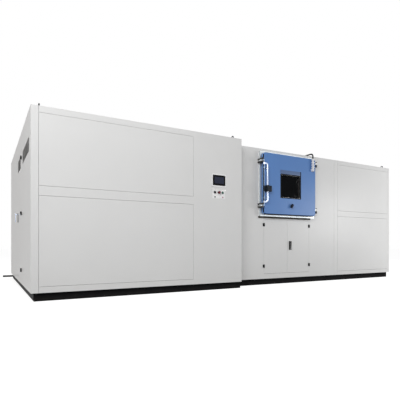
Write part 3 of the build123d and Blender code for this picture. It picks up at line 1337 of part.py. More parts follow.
def lever_handle(face, at, a, high, length, width):
    """A lever that hangs over its back plate, with a shaft and a small inner cam."""
    low = high - length
    pivot = high - LEVER_PIVOT_DROP
    half = width / 2
    shaft_end = PAN_DEPTH + 12
    lever_out = LEVER_PLATE + LEVER_STANDOFF

    def rod(d0, d1, radius):
        if face == "front":
            return spigot(a, pivot, at + d0, at + d1, radius)
        return crossbar(a, pivot, at + d0, at + d1, radius)

    plate = behind(face, at, a - half - 2, a + half + 2, low, high, -LEVER_PLATE, 0)
    plate -= rod(-LEVER_PLATE, 0, LEVER_SHAFT + RUNNING_FIT)
    lever = behind(face, at, a - half, a + half, low, high, -lever_out - LEVER_THICK, -lever_out)
    lever += rod(-lever_out, -LEVER_PLATE - TOUCH_GAP, half)
    lever += rod(-LEVER_PLATE - TOUCH_GAP, shaft_end, LEVER_SHAFT)
    cam_half = LEVER_CAM_WIDTH / 2
    lever += behind(
        face, at, a - cam_half, a + cam_half, pivot - LEVER_CAM_LENGTH, pivot + cam_half,
        shaft_end - LEVER_CAM_THICK, shaft_end,
    )
    hole = rod(0, PAN_DEPTH, LEVER_SHAFT + RUNNING_FIT)
    return plate, lever, hole


def make_small_doors():
    """Lower double doors in the front and the maintenance door in the left end."""
    fixed = []
    at = RIGHT_FRONT
    middle = SPACE_MIDDLE
    plate, latch, hole = lever_handle("front", at, LATCH_U, LATCH_HIGH, LATCH_LENGTH, LATCH_WIDTH)
    leaves = (
        ("left_leaf", SPACE_LEFT + LEAF_GAP, middle - LEAF_GAP / 2, SPACE_LEFT + LEAF_GAP / 2, 1),
        ("right_leaf", middle + LEAF_GAP / 2, SPACE_RIGHT - LEAF_GAP, SPACE_RIGHT - LEAF_GAP / 2, -1),
    )
    for name, u0, u1, seam, opens in leaves:
        leaf = pan("front", at, u0, u1, LEAF_LOW, LEAF_HIGH, 1)
        fittings = []
        for z in LEAF_HINGE_HEIGHTS:
            still, moving = small_hinge("front", at, seam, z, opens)
            fixed.append(still)
            fittings.append(moving)
        if name == "right_leaf":
            leaf -= hole
            fittings.append(plate)
        save(name, leaf)
        save(f"{name}_fittings", *fittings)
    save("leaf_latch", latch)

    plate, latch, hole = lever_handle(
        "left", 0, SIDE_LATCH_V, SIDE_LATCH_HIGH, SIDE_LATCH_LENGTH, SIDE_LATCH_WIDTH
    )
    door = pan("left", 0, SIDE_DOOR_FRONT, SIDE_DOOR_BACK, SIDE_DOOR_LOW, SIDE_DOOR_HIGH, 1)
    door = vented(door, SIDE_DOOR_FRONT + VENT_MARGIN, SIDE_DOOR_BACK - VENT_BACK_MARGIN)
    fittings = [plate]
    for z in SIDE_HINGE_HEIGHTS:
        still, moving = small_hinge("left", 0, SIDE_DOOR_FRONT - SEAM / 2, z, 1)
        fixed.append(still)
        fittings.append(moving)
    save("side_door", door - hole)
    save("side_door_fittings", *fittings)
    save("side_latch", latch)
    save("cabinet_hinges", *fixed)


def main():
    os.makedirs("parts", exist_ok=True)
    make_base()
    make_lifting_parts()
    make_skeleton()
    make_front_panels()
    make_end_panels()
    make_roofs()
    make_rear()
    make_control_panel()
    make_switches()
    make_test_space()
    make_air_handling()
    make_machinery()
    make_main_door()
    make_main_hinges()
    make_door_lock()
    make_wiper()
    make_door_cable()
    make_small_doors()


main()
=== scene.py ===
"""Looks of a walk-up environmental test chamber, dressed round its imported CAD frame."""

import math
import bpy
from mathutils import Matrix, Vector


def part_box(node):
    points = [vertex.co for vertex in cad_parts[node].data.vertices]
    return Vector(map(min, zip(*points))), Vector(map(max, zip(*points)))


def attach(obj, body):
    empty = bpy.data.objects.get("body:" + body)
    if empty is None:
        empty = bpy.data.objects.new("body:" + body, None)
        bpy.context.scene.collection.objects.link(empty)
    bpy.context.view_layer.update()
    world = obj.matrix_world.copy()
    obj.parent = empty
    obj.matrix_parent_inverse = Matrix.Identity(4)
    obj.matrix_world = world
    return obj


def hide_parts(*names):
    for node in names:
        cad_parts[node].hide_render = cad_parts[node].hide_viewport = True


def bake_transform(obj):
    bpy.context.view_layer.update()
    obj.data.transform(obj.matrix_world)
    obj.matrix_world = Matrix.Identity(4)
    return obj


bl_info = {
    "name": "Walk-up Test Chamber",
    "version": (1, 0, 0),
    "blender": (4, 5, 0),
    "location": "3D View > Sidebar > Chamber",
    "description": "Finishes and fittings of a walk-up environmental test chamber",
    "category": "Object",
}

import bmesh
import bpy
from bpy.props import FloatProperty, FloatVectorProperty, IntProperty, PointerProperty
from mathutils import Matrix, Vector

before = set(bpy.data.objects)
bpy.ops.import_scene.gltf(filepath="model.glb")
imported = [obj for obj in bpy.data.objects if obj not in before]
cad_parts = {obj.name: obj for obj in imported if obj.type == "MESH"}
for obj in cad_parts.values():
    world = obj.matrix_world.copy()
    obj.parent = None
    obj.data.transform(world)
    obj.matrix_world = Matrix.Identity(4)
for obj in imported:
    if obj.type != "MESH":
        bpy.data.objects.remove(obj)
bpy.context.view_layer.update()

MM = 0.001
MERGE = 0.01 * MM
PHOTO_PIXELS = 400
HORIZON_PIXEL = 245


class ChamberSizes(bpy.types.PropertyGroup):
    """Sizes of the fittings that the scene adds to the frame."""

    eye_wire: FloatProperty(
        name="Eye bolt wire", description="Radius of the ring's round section",
        default=7 * MM, min=2 * MM, unit="LENGTH",
    )
    door_corner: FloatProperty(
        name="Door corner", description="Radius of the main door's rounded corners",
        default=52 * MM, min=5 * MM, unit="LENGTH",
    )
    header_plate: FloatProperty(
        name="Header plate", description="Height of the bare plate over the window",
        default=66 * MM, min=10 * MM, unit="LENGTH",
    )
    boot_ribs: IntProperty(
        name="Boot ribs", description="Ribs round the cable boot on the door", default=5, min=2,
    )
    cable_radius: FloatProperty(
        name="Door cable radius", description="Radius of the cable's rubber sheath",
        default=12 * MM, min=2 * MM, unit="LENGTH",
    )


class ChamberColours(bpy.types.PropertyGroup):
    """Paint colours of the chamber, as linear values."""

    housing: FloatVectorProperty(
        name="Housing paint", description="Gloss paint on the housings' sheet metal",
        default=(0.74, 0.74, 0.735), min=0, max=1, subtype="COLOR",
    )
    door: FloatVectorProperty(
        name="Door paint", description="Blue paint on the main door",
        default=(0.108, 0.235, 0.53), min=0, max=1, subtype="COLOR",
    )
    base: FloatVectorProperty(
        name="Base paint", description="Black paint on the base channels",
        default=(0.005, 0.005, 0.006), min=0, max=1, subtype="COLOR",
    )


def sizes():
    return bpy.context.scene.chamber_sizes


def colours():
    return bpy.context.scene.chamber_colours


# Node trees

class Tree:
    """A node tree with short calls for adding and joining nodes."""

    def __init__(self, tree):
        self.tree = tree

    def add(self, kind, inputs=None, **settings):
        node = self.tree.nodes.new(kind)
        for name, value in settings.items():
            setattr(node, name, value)
        for name, value in (inputs or {}).items():
            socket = node.inputs[name]
            if isinstance(value, bpy.types.NodeSocket):
                self.tree.links.new(value, socket)
            else:
                socket.default_value = value
        return node

    def join(self, start, end):
        self.tree.links.new(start, end)

    def math(self, operation, first, second, clamp=False):
        node = self.add("ShaderNodeMath", {0: first, 1: second}, operation=operation, use_clamp=clamp)
        return node.outputs[0]

    def ranged(self, value, start, end, low, high):
        """A value that runs from start to end, taken to low to high and held between them."""
        inputs = {"Value": value, "From Min": start, "From Max": end, "To Min": low, "To Max": high}
        return self.add("ShaderNodeMapRange", inputs).outputs[0]

    def place(self):
        return self.add("ShaderNodeTexCoord").outputs["Object"]


def open_group(name, kind, inputs, outputs):
    """A new node group with named sockets. Returns its tree, its input node and its output node."""
    tree = bpy.data.node_groups.new(name, kind)
    for label, socket, value in inputs:
        made = tree.interface.new_socket(name=label, in_out="INPUT", socket_type=socket)
        if value is not None:
            made.default_value = value
    for label, socket in outputs:
        tree.interface.new_socket(name=label, in_out="OUTPUT", socket_type=socket)
    body = Tree(tree)
    return body, body.add("NodeGroupInput").outputs, body.add("NodeGroupOutput").inputs


def group_once(name, build):
    """A node group by its name, built the first time it is asked for."""
    return bpy.data.node_groups.get(name) or build(name)


def tone_drift(name):
    """Slow and fine changes of tone across a painted or moulded surface."""
    t, given, out = open_group(
        name, "ShaderNodeTree",
        [("Colour", "NodeSocketColor", (0.5, 0.5, 0.5, 1)), ("Size", "NodeSocketFloat", 0.6),
         ("Amount", "NodeSocketFloat", 0.06)],
        [("Colour", "NodeSocketColor")],
    )
    place = t.place()
    scale = t.math("DIVIDE", 1.0, given["Size"])
    slow = t.add("ShaderNodeTexNoise", {"Vector": place, "Scale": scale, "Detail": 4.0})
    low = t.math("SUBTRACT", 1.0, given["Amount"])
    high = t.math("ADD", 1.0, given["Amount"])
    level = t.ranged(slow.outputs["Fac"], 0.3, 0.7, low, high)
    shade = t.add(
        "ShaderNodeVectorMath", {0: given["Colour"], "Scale": level}, operation="SCALE"
    )
    t.join(shade.outputs[0], out["Colour"])
    return t.tree


def orange_peel(name):
    """The fine ripple of sprayed and baked paint."""
    t, given, out = open_group(
        name, "ShaderNodeTree",
        [("Size", "NodeSocketFloat", 0.004), ("Depth", "NodeSocketFloat", 0.00002),
         ("Wave", "NodeSocketFloat", 0.0004)],
        [("Normal", "NodeSocketVector")],
    )
    place = t.place()
    scale = t.math("DIVIDE", 1.0, given["Size"])
    fine = t.add("ShaderNodeTexNoise", {"Vector": place, "Scale": scale, "Detail": 1.0})
    ripple = t.add("ShaderNodeBump", {"Height": fine.outputs["Fac"], "Distance": given["Depth"]})
    slow = t.add("ShaderNodeTexNoise", {"Vector": place, "Scale": 1.8, "Detail": 1.0})
    wave = t.add(
        "ShaderNodeBump",
        {"Height": slow.outputs["Fac"], "Distance": given["Wave"], "Normal": ripple.outputs[0]},
    )
    t.join(wave.outputs[0], out["Normal"])
    return t.tree


def floor_dust(name):
    """Grime on faces that look up, and grime with painted shade that grows thicker near the floor."""
    t, given, out = open_group(
        name, "ShaderNodeTree",
        [("Colour", "NodeSocketColor", (0.5, 0.5, 0.5, 1)),
         ("Dust", "NodeSocketColor", (0.42, 0.39, 0.35, 1)),
         ("Reach", "NodeSocketFloat", 0.5), ("Amount", "NodeSocketFloat", 0.3)],
        [("Colour", "NodeSocketColor"), ("Mask", "NodeSocketFloat")],
    )
    place = t.place()
    height = t.add("ShaderNodeSeparateXYZ", {0: place}).outputs["Z"]
    # Darker towards the floor: partly grime, partly painted shade of the lower parts.
    low = t.ranged(height, given["Reach"], 0.0, 0.0, 1.0)
    facing = t.add("ShaderNodeNewGeometry").outputs["Normal"]
    up = t.add("ShaderNodeSeparateXYZ", {0: facing}).outputs["Z"]
    lying = t.math("MULTIPLY", up, 0.6, clamp=True)
    both = t.math("ADD", low, lying, clamp=True)
    patches = t.add("ShaderNodeTexNoise", {"Vector": place, "Scale": 9.0, "Detail": 6.0})
    uneven = t.math("MULTIPLY", both, patches.outputs["Fac"])
    mask = t.math("MULTIPLY", uneven, given["Amount"], clamp=True)
    mix = t.add(
        "ShaderNodeMix", {0: mask, 6: given["Colour"], 7: given["Dust"]}, data_type="RGBA"
    )
    t.join(mix.outputs[2], out["Colour"])
    t.join(mask, out["Mask"])
    return t.tree


def brushed_grain(name):
    """Long fine scratches of brushed metal: an uneven roughness and a bump."""
    t, given, out = open_group(
        name, "ShaderNodeTree",
        [("Stretch", "NodeSocketVector", (6.0, 300.0, 300.0)), ("Roughness", "NodeSocketFloat", 0.3),
         ("Spread", "NodeSocketFloat", 0.08)],
        [("Roughness", "NodeSocketFloat"), ("Normal", "NodeSocketVector")],
    )
    place = t.place()
    drawn = t.add("ShaderNodeVectorMath", {0: place, 1: given["Stretch"]}, operation="MULTIPLY")
    lines = t.add("ShaderNodeTexNoise", {"Vector": drawn.outputs[0], "Scale": 1.0, "Detail": 3.0})
    low = t.math("SUBTRACT", given["Roughness"], given["Spread"])
    high = t.math("ADD", given["Roughness"], given["Spread"])
    rough = t.ranged(lines.outputs["Fac"], 0.3, 0.7, low, high)
    bump = t.add("ShaderNodeBump", {"Height": lines.outputs["Fac"], "Distance": 0.00003})
    t.join(rough, out["Roughness"])
    t.join(bump.outputs[0], out["Normal"])
    return t.tree


def edge_rub(name):
    """Paint or plastic rubbed paler where an edge is handled."""
    t, given, out = open_group(
        name, "ShaderNodeTree",
        [("Colour", "NodeSocketColor", (0.1, 0.1, 0.1, 1)), ("Bare", "NodeSocketColor", (0.4, 0.4, 0.4, 1)),
         ("Width", "NodeSocketFloat", 0.002), ("Amount", "NodeSocketFloat", 0.5)],
        [("Colour", "NodeSocketColor"), ("Mask", "NodeSocketFloat")],
    )
    soft = t.add("ShaderNodeBevel", {"Radius": given["Width"]}, samples=4)
    plain = t.add("ShaderNodeNewGeometry").outputs["Normal"]
    match = t.add("ShaderNodeVectorMath", {0: soft.outputs[0], 1: plain}, operation="DOT_PRODUCT")
    edge = t.ranged(match.outputs["Value"], 0.995, 0.8, 0.0, 1.0)
    place = t.place()
    chips = t.add("ShaderNodeTexNoise", {"Vector": place, "Scale": 60.0, "Detail": 5.0})
    sharp = t.ranged(chips.outputs["Fac"], 0.45, 0.62, 0.0, 1.0)
    rubbed = t.math("MULTIPLY", edge, sharp)
    mask = t.math("MULTIPLY", rubbed, given["Amount"], clamp=True)
    mix = t.add(
        "ShaderNodeMix", {0: mask, 6: given["Colour"], 7: given["Bare"]}, data_type="RGBA"
    )
    t.join(mix.outputs[2], out["Colour"])
    t.join(mask, out["Mask"])
    return t.tree


# Finishes

def place_group(t, build, **inputs):
    """A shader group placed in a material with its own values."""
    return t.add("ShaderNodeGroup", inputs, node_tree=group_once(build.__name__, build)).outputs


# The frame's own materials have plain names, so a finish starts with a word of its own.
FINISH_MARK = "chamber_"


def rgba(colour):
    return (colour[0], colour[1], colour[2], 1.0)


def blank_finish(name, **sockets):
    """A material with a Principled shader, whose plain sockets are set here. Returns its tree and sockets."""
    made = bpy.data.materials.new(FINISH_MARK + name)
    made.use_nodes = True
    t = Tree(made.node_tree)
    shader = made.node_tree.nodes["Principled BSDF"]
    for label, value in sockets.items():
        shader.inputs[label.replace("_", " ")].default_value = value
    return t, shader.inputs


def paint(name, colour, roughness, drift=0.03, dust=0.2, reach=0.5, peel=0.00002, wave=0.0, rub=0.0,
          bare=0.5, shine=0.5, coat=0.25):
    """Sprayed paint with orange peel, slow changes of tone, grime and painted shade low down, and rubbed
    edges.
    """
    t, shader = blank_finish(name, Coat_Weight=coat, Coat_Roughness=0.08, Specular_IOR_Level=shine)
    tone = place_group(t, tone_drift, Colour=rgba(colour), Size=0.7, Amount=drift)
    colour_now = tone["Colour"]
    if rub:
        worn = place_group(
            t, edge_rub, Colour=colour_now, Bare=(bare, bare, bare, 1.0), Width=0.003, Amount=rub
        )
        colour_now = worn["Colour"]
    # This mask darkens the paint towards the floor, as grime and painted shade.
    grime_shade_film = place_group(t, floor_dust, Colour=colour_now, Reach=reach, Amount=dust)
    t.join(grime_shade_film["Colour"], shader["Base Color"])
    rough = t.ranged(grime_shade_film["Mask"], 0.0, 1.0, roughness, 0.8)
    t.join(rough, shader["Roughness"])
    skin = place_group(t, orange_peel, Size=0.004, Depth=peel, Wave=wave)
    t.join(skin["Normal"], shader["Normal"])


def metal(name, colour, roughness, stretch, spread=0.08, drift=0.05):
    """Brushed or polished metal."""
    t, shader = blank_finish(name, Metallic=1.0)
    tone = place_group(t, tone_drift, Colour=rgba(colour), Size=0.25, Amount=drift)
    t.join(tone["Colour"], shader["Base Color"])
    grain = place_group(t, brushed_grain, Stretch=stretch, Roughness=roughness, Spread=spread)
    t.join(grain["Roughness"], shader["Roughness"])
    t.join(grain["Normal"], shader["Normal"])


def moulded(name, colour, roughness, grain=0.0012, depth=0.00004, rub=0.0, drift=0.06, shine=0.15):
    """Moulded plastic or rubber with a fine skin texture."""
    t, shader = blank_finish(name, Specular_IOR_Level=shine)
    tone = place_group(t, tone_drift, Colour=rgba(colour), Size=0.08, Amount=drift)
    colour_now = tone["Colour"]
    if rub:
        worn = place_group(
            t, edge_rub, Colour=colour_now, Bare=(0.25, 0.25, 0.25, 1.0), Width=0.0015, Amount=rub
        )
        colour_now = worn["Colour"]
    t.join(colour_now, shader["Base Color"])
    place = t.place()
    smears = t.add("ShaderNodeTexNoise", {"Vector": place, "Scale": 40.0, "Detail": 3.0})
    rough = t.ranged(smears.outputs["Fac"], 0.3, 0.7, roughness * 0.85, roughness * 1.2)
    t.join(rough, shader["Roughness"])
    skin = place_group(t, orange_peel, Size=grain, Depth=depth, Wave=0.0)
    t.join(skin["Normal"], shader["Normal"])


def lens(name, colour, shine=0.2, coat=0.1):
    """Glossy tinted plastic of a push button or lamp lens."""
    t, shader = blank_finish(name, Coat_Weight=coat, Coat_Roughness=0.05, Specular_IOR_Level=shine)
    tone = place_group(t, tone_drift, Colour=rgba(colour), Size=0.02, Amount=0.12)
    t.join(tone["Colour"], shader["Base Color"])
    rim = t.add("ShaderNodeLayerWeight", {"Blend": 0.3})
    rough = t.ranged(rim.outputs["Facing"], 0.0, 1.0, 0.2, 0.35)
    t.join(rough, shader["Roughness"])


def window_glass(name):
    """Window glass tinted almost black as painted shade of the unlit test space behind it, with a few wiped
    smears.
    """
    t, shader = blank_finish(name, Transmission_Weight=0.6, IOR=1.12, Specular_IOR_Level=0.2)
    # Near-black tint: painted shade of the test space behind the glass.
    tone = place_group(t, tone_drift, Colour=(0.006, 0.007, 0.009, 1.0), Size=0.3, Amount=0.2)
    t.join(tone["Colour"], shader["Base Color"])
    place = t.place()
    smears = t.add("ShaderNodeTexNoise", {"Vector": place, "Scale": 14.0, "Detail": 5.0})
    rough = t.ranged(smears.outputs["Fac"], 0.35, 0.75, 0.02, 0.12)
    t.join(rough, shader["Roughness"])


def finned(name, colour):
    """Aluminium fins of a coil, as fine upright lines with painted shade in the gaps between them."""
    t, shader = blank_finish(name, Metallic=0.8)
    place = t.place()
    fins = t.add(
        "ShaderNodeTexWave", {"Vector": place, "Scale": 60.0, "Distortion": 0.3}, bands_direction="X"
    )
    # Darker lines between the fins stand as painted shade in the gaps.
    fin_gap_shade = t.ranged(fins.outputs["Fac"], 0.0, 1.0, 0.25, 1.0)
    shade = t.add("ShaderNodeVectorMath", {0: colour, "Scale": fin_gap_shade}, operation="SCALE")
    tone = place_group(t, tone_drift, Colour=shade.outputs[0], Size=0.3, Amount=0.1)
    t.join(tone["Colour"], shader["Base Color"])
    shader["Roughness"].default_value = 0.45
    bump = t.add("ShaderNodeBump", {"Height": fins.outputs["Fac"], "Distance": 0.002})
    t.join(bump.outputs[0], shader["Normal"])


def foamed(name, colour):
    """Cut foam with open pores."""
    t, shader = blank_finish(name, Roughness=0.9)
    place = t.place()
    pores = t.add("ShaderNodeTexVoronoi", {"Vector": place, "Scale": 180.0})
    tone = place_group(t, tone_drift, Colour=rgba(colour), Size=0.1, Amount=0.1)
    t.join(tone["Colour"], shader["Base Color"])
    bump = t.add("ShaderNodeBump", {"Height": pores.outputs["Distance"], "Distance": 0.0015})
    t.join(bump.outputs[0], shader["Normal"])


ALONG_X = (5.0, 260.0, 260.0)
ALONG_Z = (260.0, 260.0, 5.0)


def make_finishes():
    """Make every finish of the chamber."""
    tint = colours()
    paint("housing_paint", tint.housing, 0.3, drift=0.012, dust=0.10, wave=0.0006, shine=0.16, coat=0.0)
    paint(
        "base_paint", tint.base, 0.5, drift=0.2, dust=0.05, reach=0.09, peel=0.00005, rub=0.2,
        bare=0.1, shine=0.02, coat=0.0,
    )
    paint("bright_enamel", (0.88, 0.88, 0.88), 0.4, drift=0.01, dust=0.02, shine=0.2, coat=0.0)
    paint("door_paint", tint.door, 0.34, drift=0.04, dust=0.0, shine=0.22, coat=0.0)
    paint("header_blue", (0.105, 0.165, 0.31), 0.3, drift=0.04, dust=0.0, shine=0.2, coat=0.0)
    metal("frame_steel", (0.42, 0.43, 0.45), 0.45, ALONG_Z, 0.1, 0.12)
    metal("satin_stainless", (0.72, 0.72, 0.71), 0.3, ALONG_X)
    metal("trim_stainless", (0.70, 0.74, 0.76), 0.5, ALONG_Z)
    # The chrome's blue cast is a painted reflection of the blue door.
    metal("chrome", (0.66, 0.73, 0.88), 0.12, ALONG_Z, 0.03, 0.03)
    # Dark blue steel: its colour is a painted reflection of the dark room and the blue door.
    metal("blue_reflection_steel", (0.20, 0.26, 0.36), 0.22, ALONG_Z, 0.05, 0.08)
    metal("hinge_steel", (0.42, 0.42, 0.40), 0.4, ALONG_X, 0.08, 0.1)
    metal("keeper_steel", (0.06, 0.056, 0.052), 0.38, ALONG_X, 0.08, 0.1)
    paint(
        "black_cast", (0.007, 0.007, 0.008), 0.45, drift=0.1, dust=0.0, rub=0.25, bare=0.12,
        shine=0.10, coat=0.0,
    )
    moulded("black_plastic", (0.005, 0.005, 0.006), 0.45, rub=0.08, shine=0.06)
    moulded("lock_plastic", (0.007, 0.012, 0.020), 0.38, rub=0.12)
    moulded("knob_plastic", (0.004, 0.008, 0.022), 0.35, rub=0.08, shine=0.1)
    foamed("foam", (0.78, 0.68, 0.42))
    # Black rubber of real parts, also used for strips that stand as painted shade round the door and window.
    moulded("black_rubber_and_shade", (0.008, 0.009, 0.011), 0.62, depth=0.00008, shine=0.08)
    # Dark brown-grey as painted shadow under the door frame.
    moulded("frame_sealant", (0.075, 0.07, 0.062), 0.7, shine=0.08)
    moulded("silicone", (0.72, 0.72, 0.69), 0.5, shine=0.4)
    window_glass("window_glass")
    lens("screen_glass", (0.030, 0.035, 0.058), shine=0.08, coat=0.0)
    lens("red_button", (0.13, 0.008, 0.016))
    lens("green_button", (0.10, 0.24, 0.18))
    lens("green_lamp", (0.05, 0.085, 0.055))
    lens("red_lamp", (0.44, 0.20, 0.26))
    finned("coil_fins", (0.30, 0.31, 0.32))
    moulded("boot_plastic", (0.82, 0.82, 0.84), 0.45, drift=0.1, shine=0.3)


CARRIED_FINISH = {
    "housing_paint": [
        "front_panels", "end_panels", "roof_panels", "rear_panels", "control_panel", "chamber_front_wall",
        "left_leaf", "right_leaf", "side_door", "rear_louvres",
    ],
    "base_paint": ["base_frame", "lifting_lugs"],
    "frame_steel": ["housing_frame", "electrical_plate", "fan_motor"],
    "door_paint": ["door_skin"],
    "trim_stainless": ["door_frame"],
    "hinge_steel": ["door_hinge_leaves"],
    "satin_stainless": ["door_liner", "chamber_liner", "air_baffle", "shelf", "circulation_fan"],
    "chrome": ["grip_bar", "side_latch"],
    "blue_reflection_steel": ["lock_rod", "rod_brackets"],
    "keeper_steel": ["door_keepers"],
    "lock_plastic": ["lock_body", "lock_button", "lock_catch"],
    "black_cast": [
        "door_hinge_brackets", "cabinet_hinges", "left_leaf_fittings",
        "right_leaf_fittings", "side_door_fittings", "leaf_latch", "compressors", "condenser_fan",
        "eye_bolts",
    ],
    "black_plastic": [
        "hmi_bezel", "switch_collars", "selector_knob", "roof_cable_gland", "window_frame",
    ],
    "knob_plastic": ["wiper_knob"],
    "foam": ["door_core", "chamber_insulation"],
    "black_rubber_and_shade": ["door_cable", "wiper_arm"],
    "silicone": ["door_gasket"],
    "window_glass": ["window_panes"],
    "screen_glass": ["hmi_screen"],
    "red_button": ["estop_button"],
    "green_button": ["start_button"],
    "green_lamp": ["indicator_lamps"],
    "coil_fins": ["air_coils", "condenser"],
    "boot_plastic": ["door_cable_boot"],
}


def finish(name):
    return bpy.data.materials[FINISH_MARK + name]


class CHAMBER_OT_finishes(bpy.types.Operator):
    """Make the finishes and give one to every node of the frame"""

    bl_idname = "chamber.finishes"
    bl_label = "Finishes"

    def execute(self, context):
        make_finishes()
        bare = set(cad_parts)
        for name, nodes in CARRIED_FINISH.items():
            for node in nodes:
                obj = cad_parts[node]
                if not obj.material_slots:
                    obj.data.materials.append(None)
                for slot in obj.material_slots:
                    slot.material = finish(name)
                bare.discard(node)
        if bare:
            raise RuntimeError(f"no finish for {sorted(bare)}")
        return {"FINISHED"}


# Shapes

def solid_boxes(node):
    """The lowest and highest corner of each separate solid of a node, ordered by place."""
    bm = bmesh.new()
    bm.from_mesh(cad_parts[node].data)
    bmesh.ops.remove_doubles(bm, verts=bm.verts, dist=MERGE)
    left = set(bm.verts)
    boxes = []
    while left:
        grow = [left.pop()]
        lo, hi = grow[0].co.copy(), grow[0].co.copy()
        while grow:
            vert = grow.pop()
            lo = Vector(map(min, lo, vert.co))
            hi = Vector(map(max, hi, vert.co))
            for edge in vert.link_edges:
                other = edge.other_vert(vert)
                if other in left:
                    left.remove(other)
                    grow.append(other)
        boxes.append((lo, hi))
    bm.free()
    return sorted(boxes, key=lambda box: tuple(round(c, 3) for c in box[0]))


def middle(box):
    return (box[0] + box[1]) / 2


def extent(box):
    return box[1] - box[0]


def turn_to(direction):
    """The turn that takes +Z to a direction."""
    return Vector((0, 0, 1)).rotation_difference(Vector(direction)).to_matrix()


def arc(radius, height, bend, start, end, steps=5):
    """Profile points on a bend round (radius, height), from one angle to another in degrees."""
    out = []
    for k in range(steps + 1):
        angle = math.radians(start + (end - start) * k / steps)
        out.append((radius + bend * math.cos(angle), height + bend * math.sin(angle)))
    return out


def bridge(bm, rings):
    """Four-sided faces between each closed ring of vertices and the next."""
    for near, far in zip(rings, rings[1:]):
        count = len(near)
        for k in range(count):
            bm.faces.new([near[k], near[(k + 1) % count], far[(k + 1) % count], far[k]])


def add_turned(bm, profile, place, direction=(0, 0, 1), steps=40):
    """A turned shape: profile is (radius, height) from its foot to its top, closed at both ends."""
    turn = turn_to(direction)
    place = Vector(place)
    rings = []
    points = [(0.0, profile[0][1]), *profile, (0.0, profile[-1][1])]
    for radius, height in points:
        count = 1 if radius < 1e-7 else steps
        ring = []
        for k in range(count):
            angle = 2 * math.pi * k / steps
            local = Vector((radius * math.cos(angle), radius * math.sin(angle), height))
            ring.append(bm.verts.new(place + turn @ local))
        if rings and len(ring) == 1 and len(rings[-1]) == 1:
            bm.verts.remove(ring[0])
            continue
        rings.append(ring)
    for low, high in zip(rings, rings[1:]):
        for k in range(steps):
            nxt = (k + 1) % steps
            corners = [low[k % len(low)], low[nxt % len(low)], high[nxt % len(high)], high[k % len(high)]]
            corners = list(dict.fromkeys(corners))
            if len(corners) > 2:
                bm.faces.new(corners)


def add_block(bm, lo, hi, round_edge=0.0, segments=2, turn=None):
    """A block between two corners with rounded edges, turned about its own middle if asked."""
    lo, hi = Vector(lo), Vector(hi)
    size = hi - lo
    spin = (turn or Matrix.Identity(3)).to_4x4()
    scale = Matrix.Diagonal((*size, 1.0))
    place = Matrix.Translation((lo + hi) / 2) @ spin @ scale
    made = bmesh.ops.create_cube(bm, size=1.0, matrix=place)
    if round_edge:
        edges = list(dict.fromkeys(edge for vert in made["verts"] for edge in vert.link_edges))
        bmesh.ops.bevel(
            bm, geom=edges, offset=min(round_edge, min(size) * 0.49), segments=segments,
            profile=0.5, affect="EDGES", clamp_overlap=True,
        )


def rounded_outline(width, height, corner, steps=8):
    """Points and outward directions round a rounded rectangle of the front view."""
    out = []
    for quarter, (sx, sz) in enumerate(((1, 1), (-1, 1), (-1, -1), (1, -1))):
        centre = Vector((sx * (width / 2 - corner), 0, sz * (height / 2 - corner)))
        for k in range(steps + 1):
            angle = math.radians(90 * (quarter + k / steps))
            way = Vector((math.cos(angle), 0, math.sin(angle)))
            out.append((centre + way * corner, way))
    return out


def add_ring(bm, centre, width, height, corner, profile):
    """A strip round a rounded rectangle. profile is (outwards, forwards) points of its closed section."""
    loops = []
    for point, way in rounded_outline(width, height, corner):
        loops.append([bm.verts.new(centre + point + way * a + Vector((0, -b, 0))) for a, b in profile])
    bridge(bm, loops + loops[:1])


def outline_rings(bm, centre, outline, levels):
    """Rings of vertices on an outline, one for each (outwards, forwards) level."""
    rings = []
    for out, forward in levels:
        rings.append([
            bm.verts.new(centre + point + way * out + Vector((0, -forward, 0))) for point, way in outline
        ])
    return rings


def close_rings(bm, rings):
    """Faces between rings of vertices, and over the last and the first of them."""
    bridge(bm, rings)
    bm.faces.new(rings[-1])
    bm.faces.new(rings[0])


def add_plate(bm, centre, width, height, corner, depth, round_edge):
    """A plate of the front view with rounded corners and a rounded front edge, that grows forwards."""
    levels = [(0.0, 0.0), *arc(-round_edge, depth - round_edge, round_edge, 0, 90, 4)]
    close_rings(bm, outline_rings(bm, centre, rounded_outline(width, height, corner), levels))


def bent_path(points, radius, steps=8):
    """A path of straight runs whose corners are rounded to arcs."""
    points = [Vector(p) for p in points]
    out = [points[0]]
    for before, corner, after in zip(points, points[1:], points[2:]):
        back, ahead = (before - corner).normalized(), (after - corner).normalized()
        half = back.angle(ahead) / 2
        reach = radius / math.tan(half)
        centre = corner + (back + ahead).normalized() * (radius / math.sin(half))
        start = corner + back * reach - centre
        end = corner + ahead * reach - centre
        for k in range(steps + 1):
            out.append(centre + start.normalized().slerp(end.normalized(), k / steps) * radius)
    out.append(points[-1])
    return out


def add_tube(bm, path, radius, sides):
    """A round bar along a path, with its ends closed."""
    tangents = []
    for k, point in enumerate(path):
        before, after = path[max(k - 1, 0)], path[min(k + 1, len(path) - 1)]
        tangents.append((after - before).normalized())
    normal = tangents[0].orthogonal().normalized()
    rings = []
    for point, tangent in zip(path, tangents):
        normal = (normal - tangent * normal.dot(tangent)).normalized()
        side = tangent.cross(normal)
        ring = []
        for k in range(sides):
            angle = 2 * math.pi * k / sides
            way = normal * math.cos(angle) + side * math.sin(angle)
            ring.append(bm.verts.new(point + way * radius))
        rings.append(ring)
    close_rings(bm, rings)


SMOOTH_UNDER = math.radians(35)


def plain_object(name, data):
    obj = bpy.data.objects.new(name, data)
    bpy.context.scene.collection.objects.link(obj)
    return obj


def raw_mesh(name, bm):
    mesh = bpy.data.meshes.new(name)
    bm.to_mesh(mesh)
    bm.free()
    return mesh


def unfinished(name, bm):
    """A plain object from mesh code, with its faces turned outwards."""
    bmesh.ops.recalc_face_normals(bm, faces=bm.faces)
    return plain_object(name, raw_mesh(name, bm))


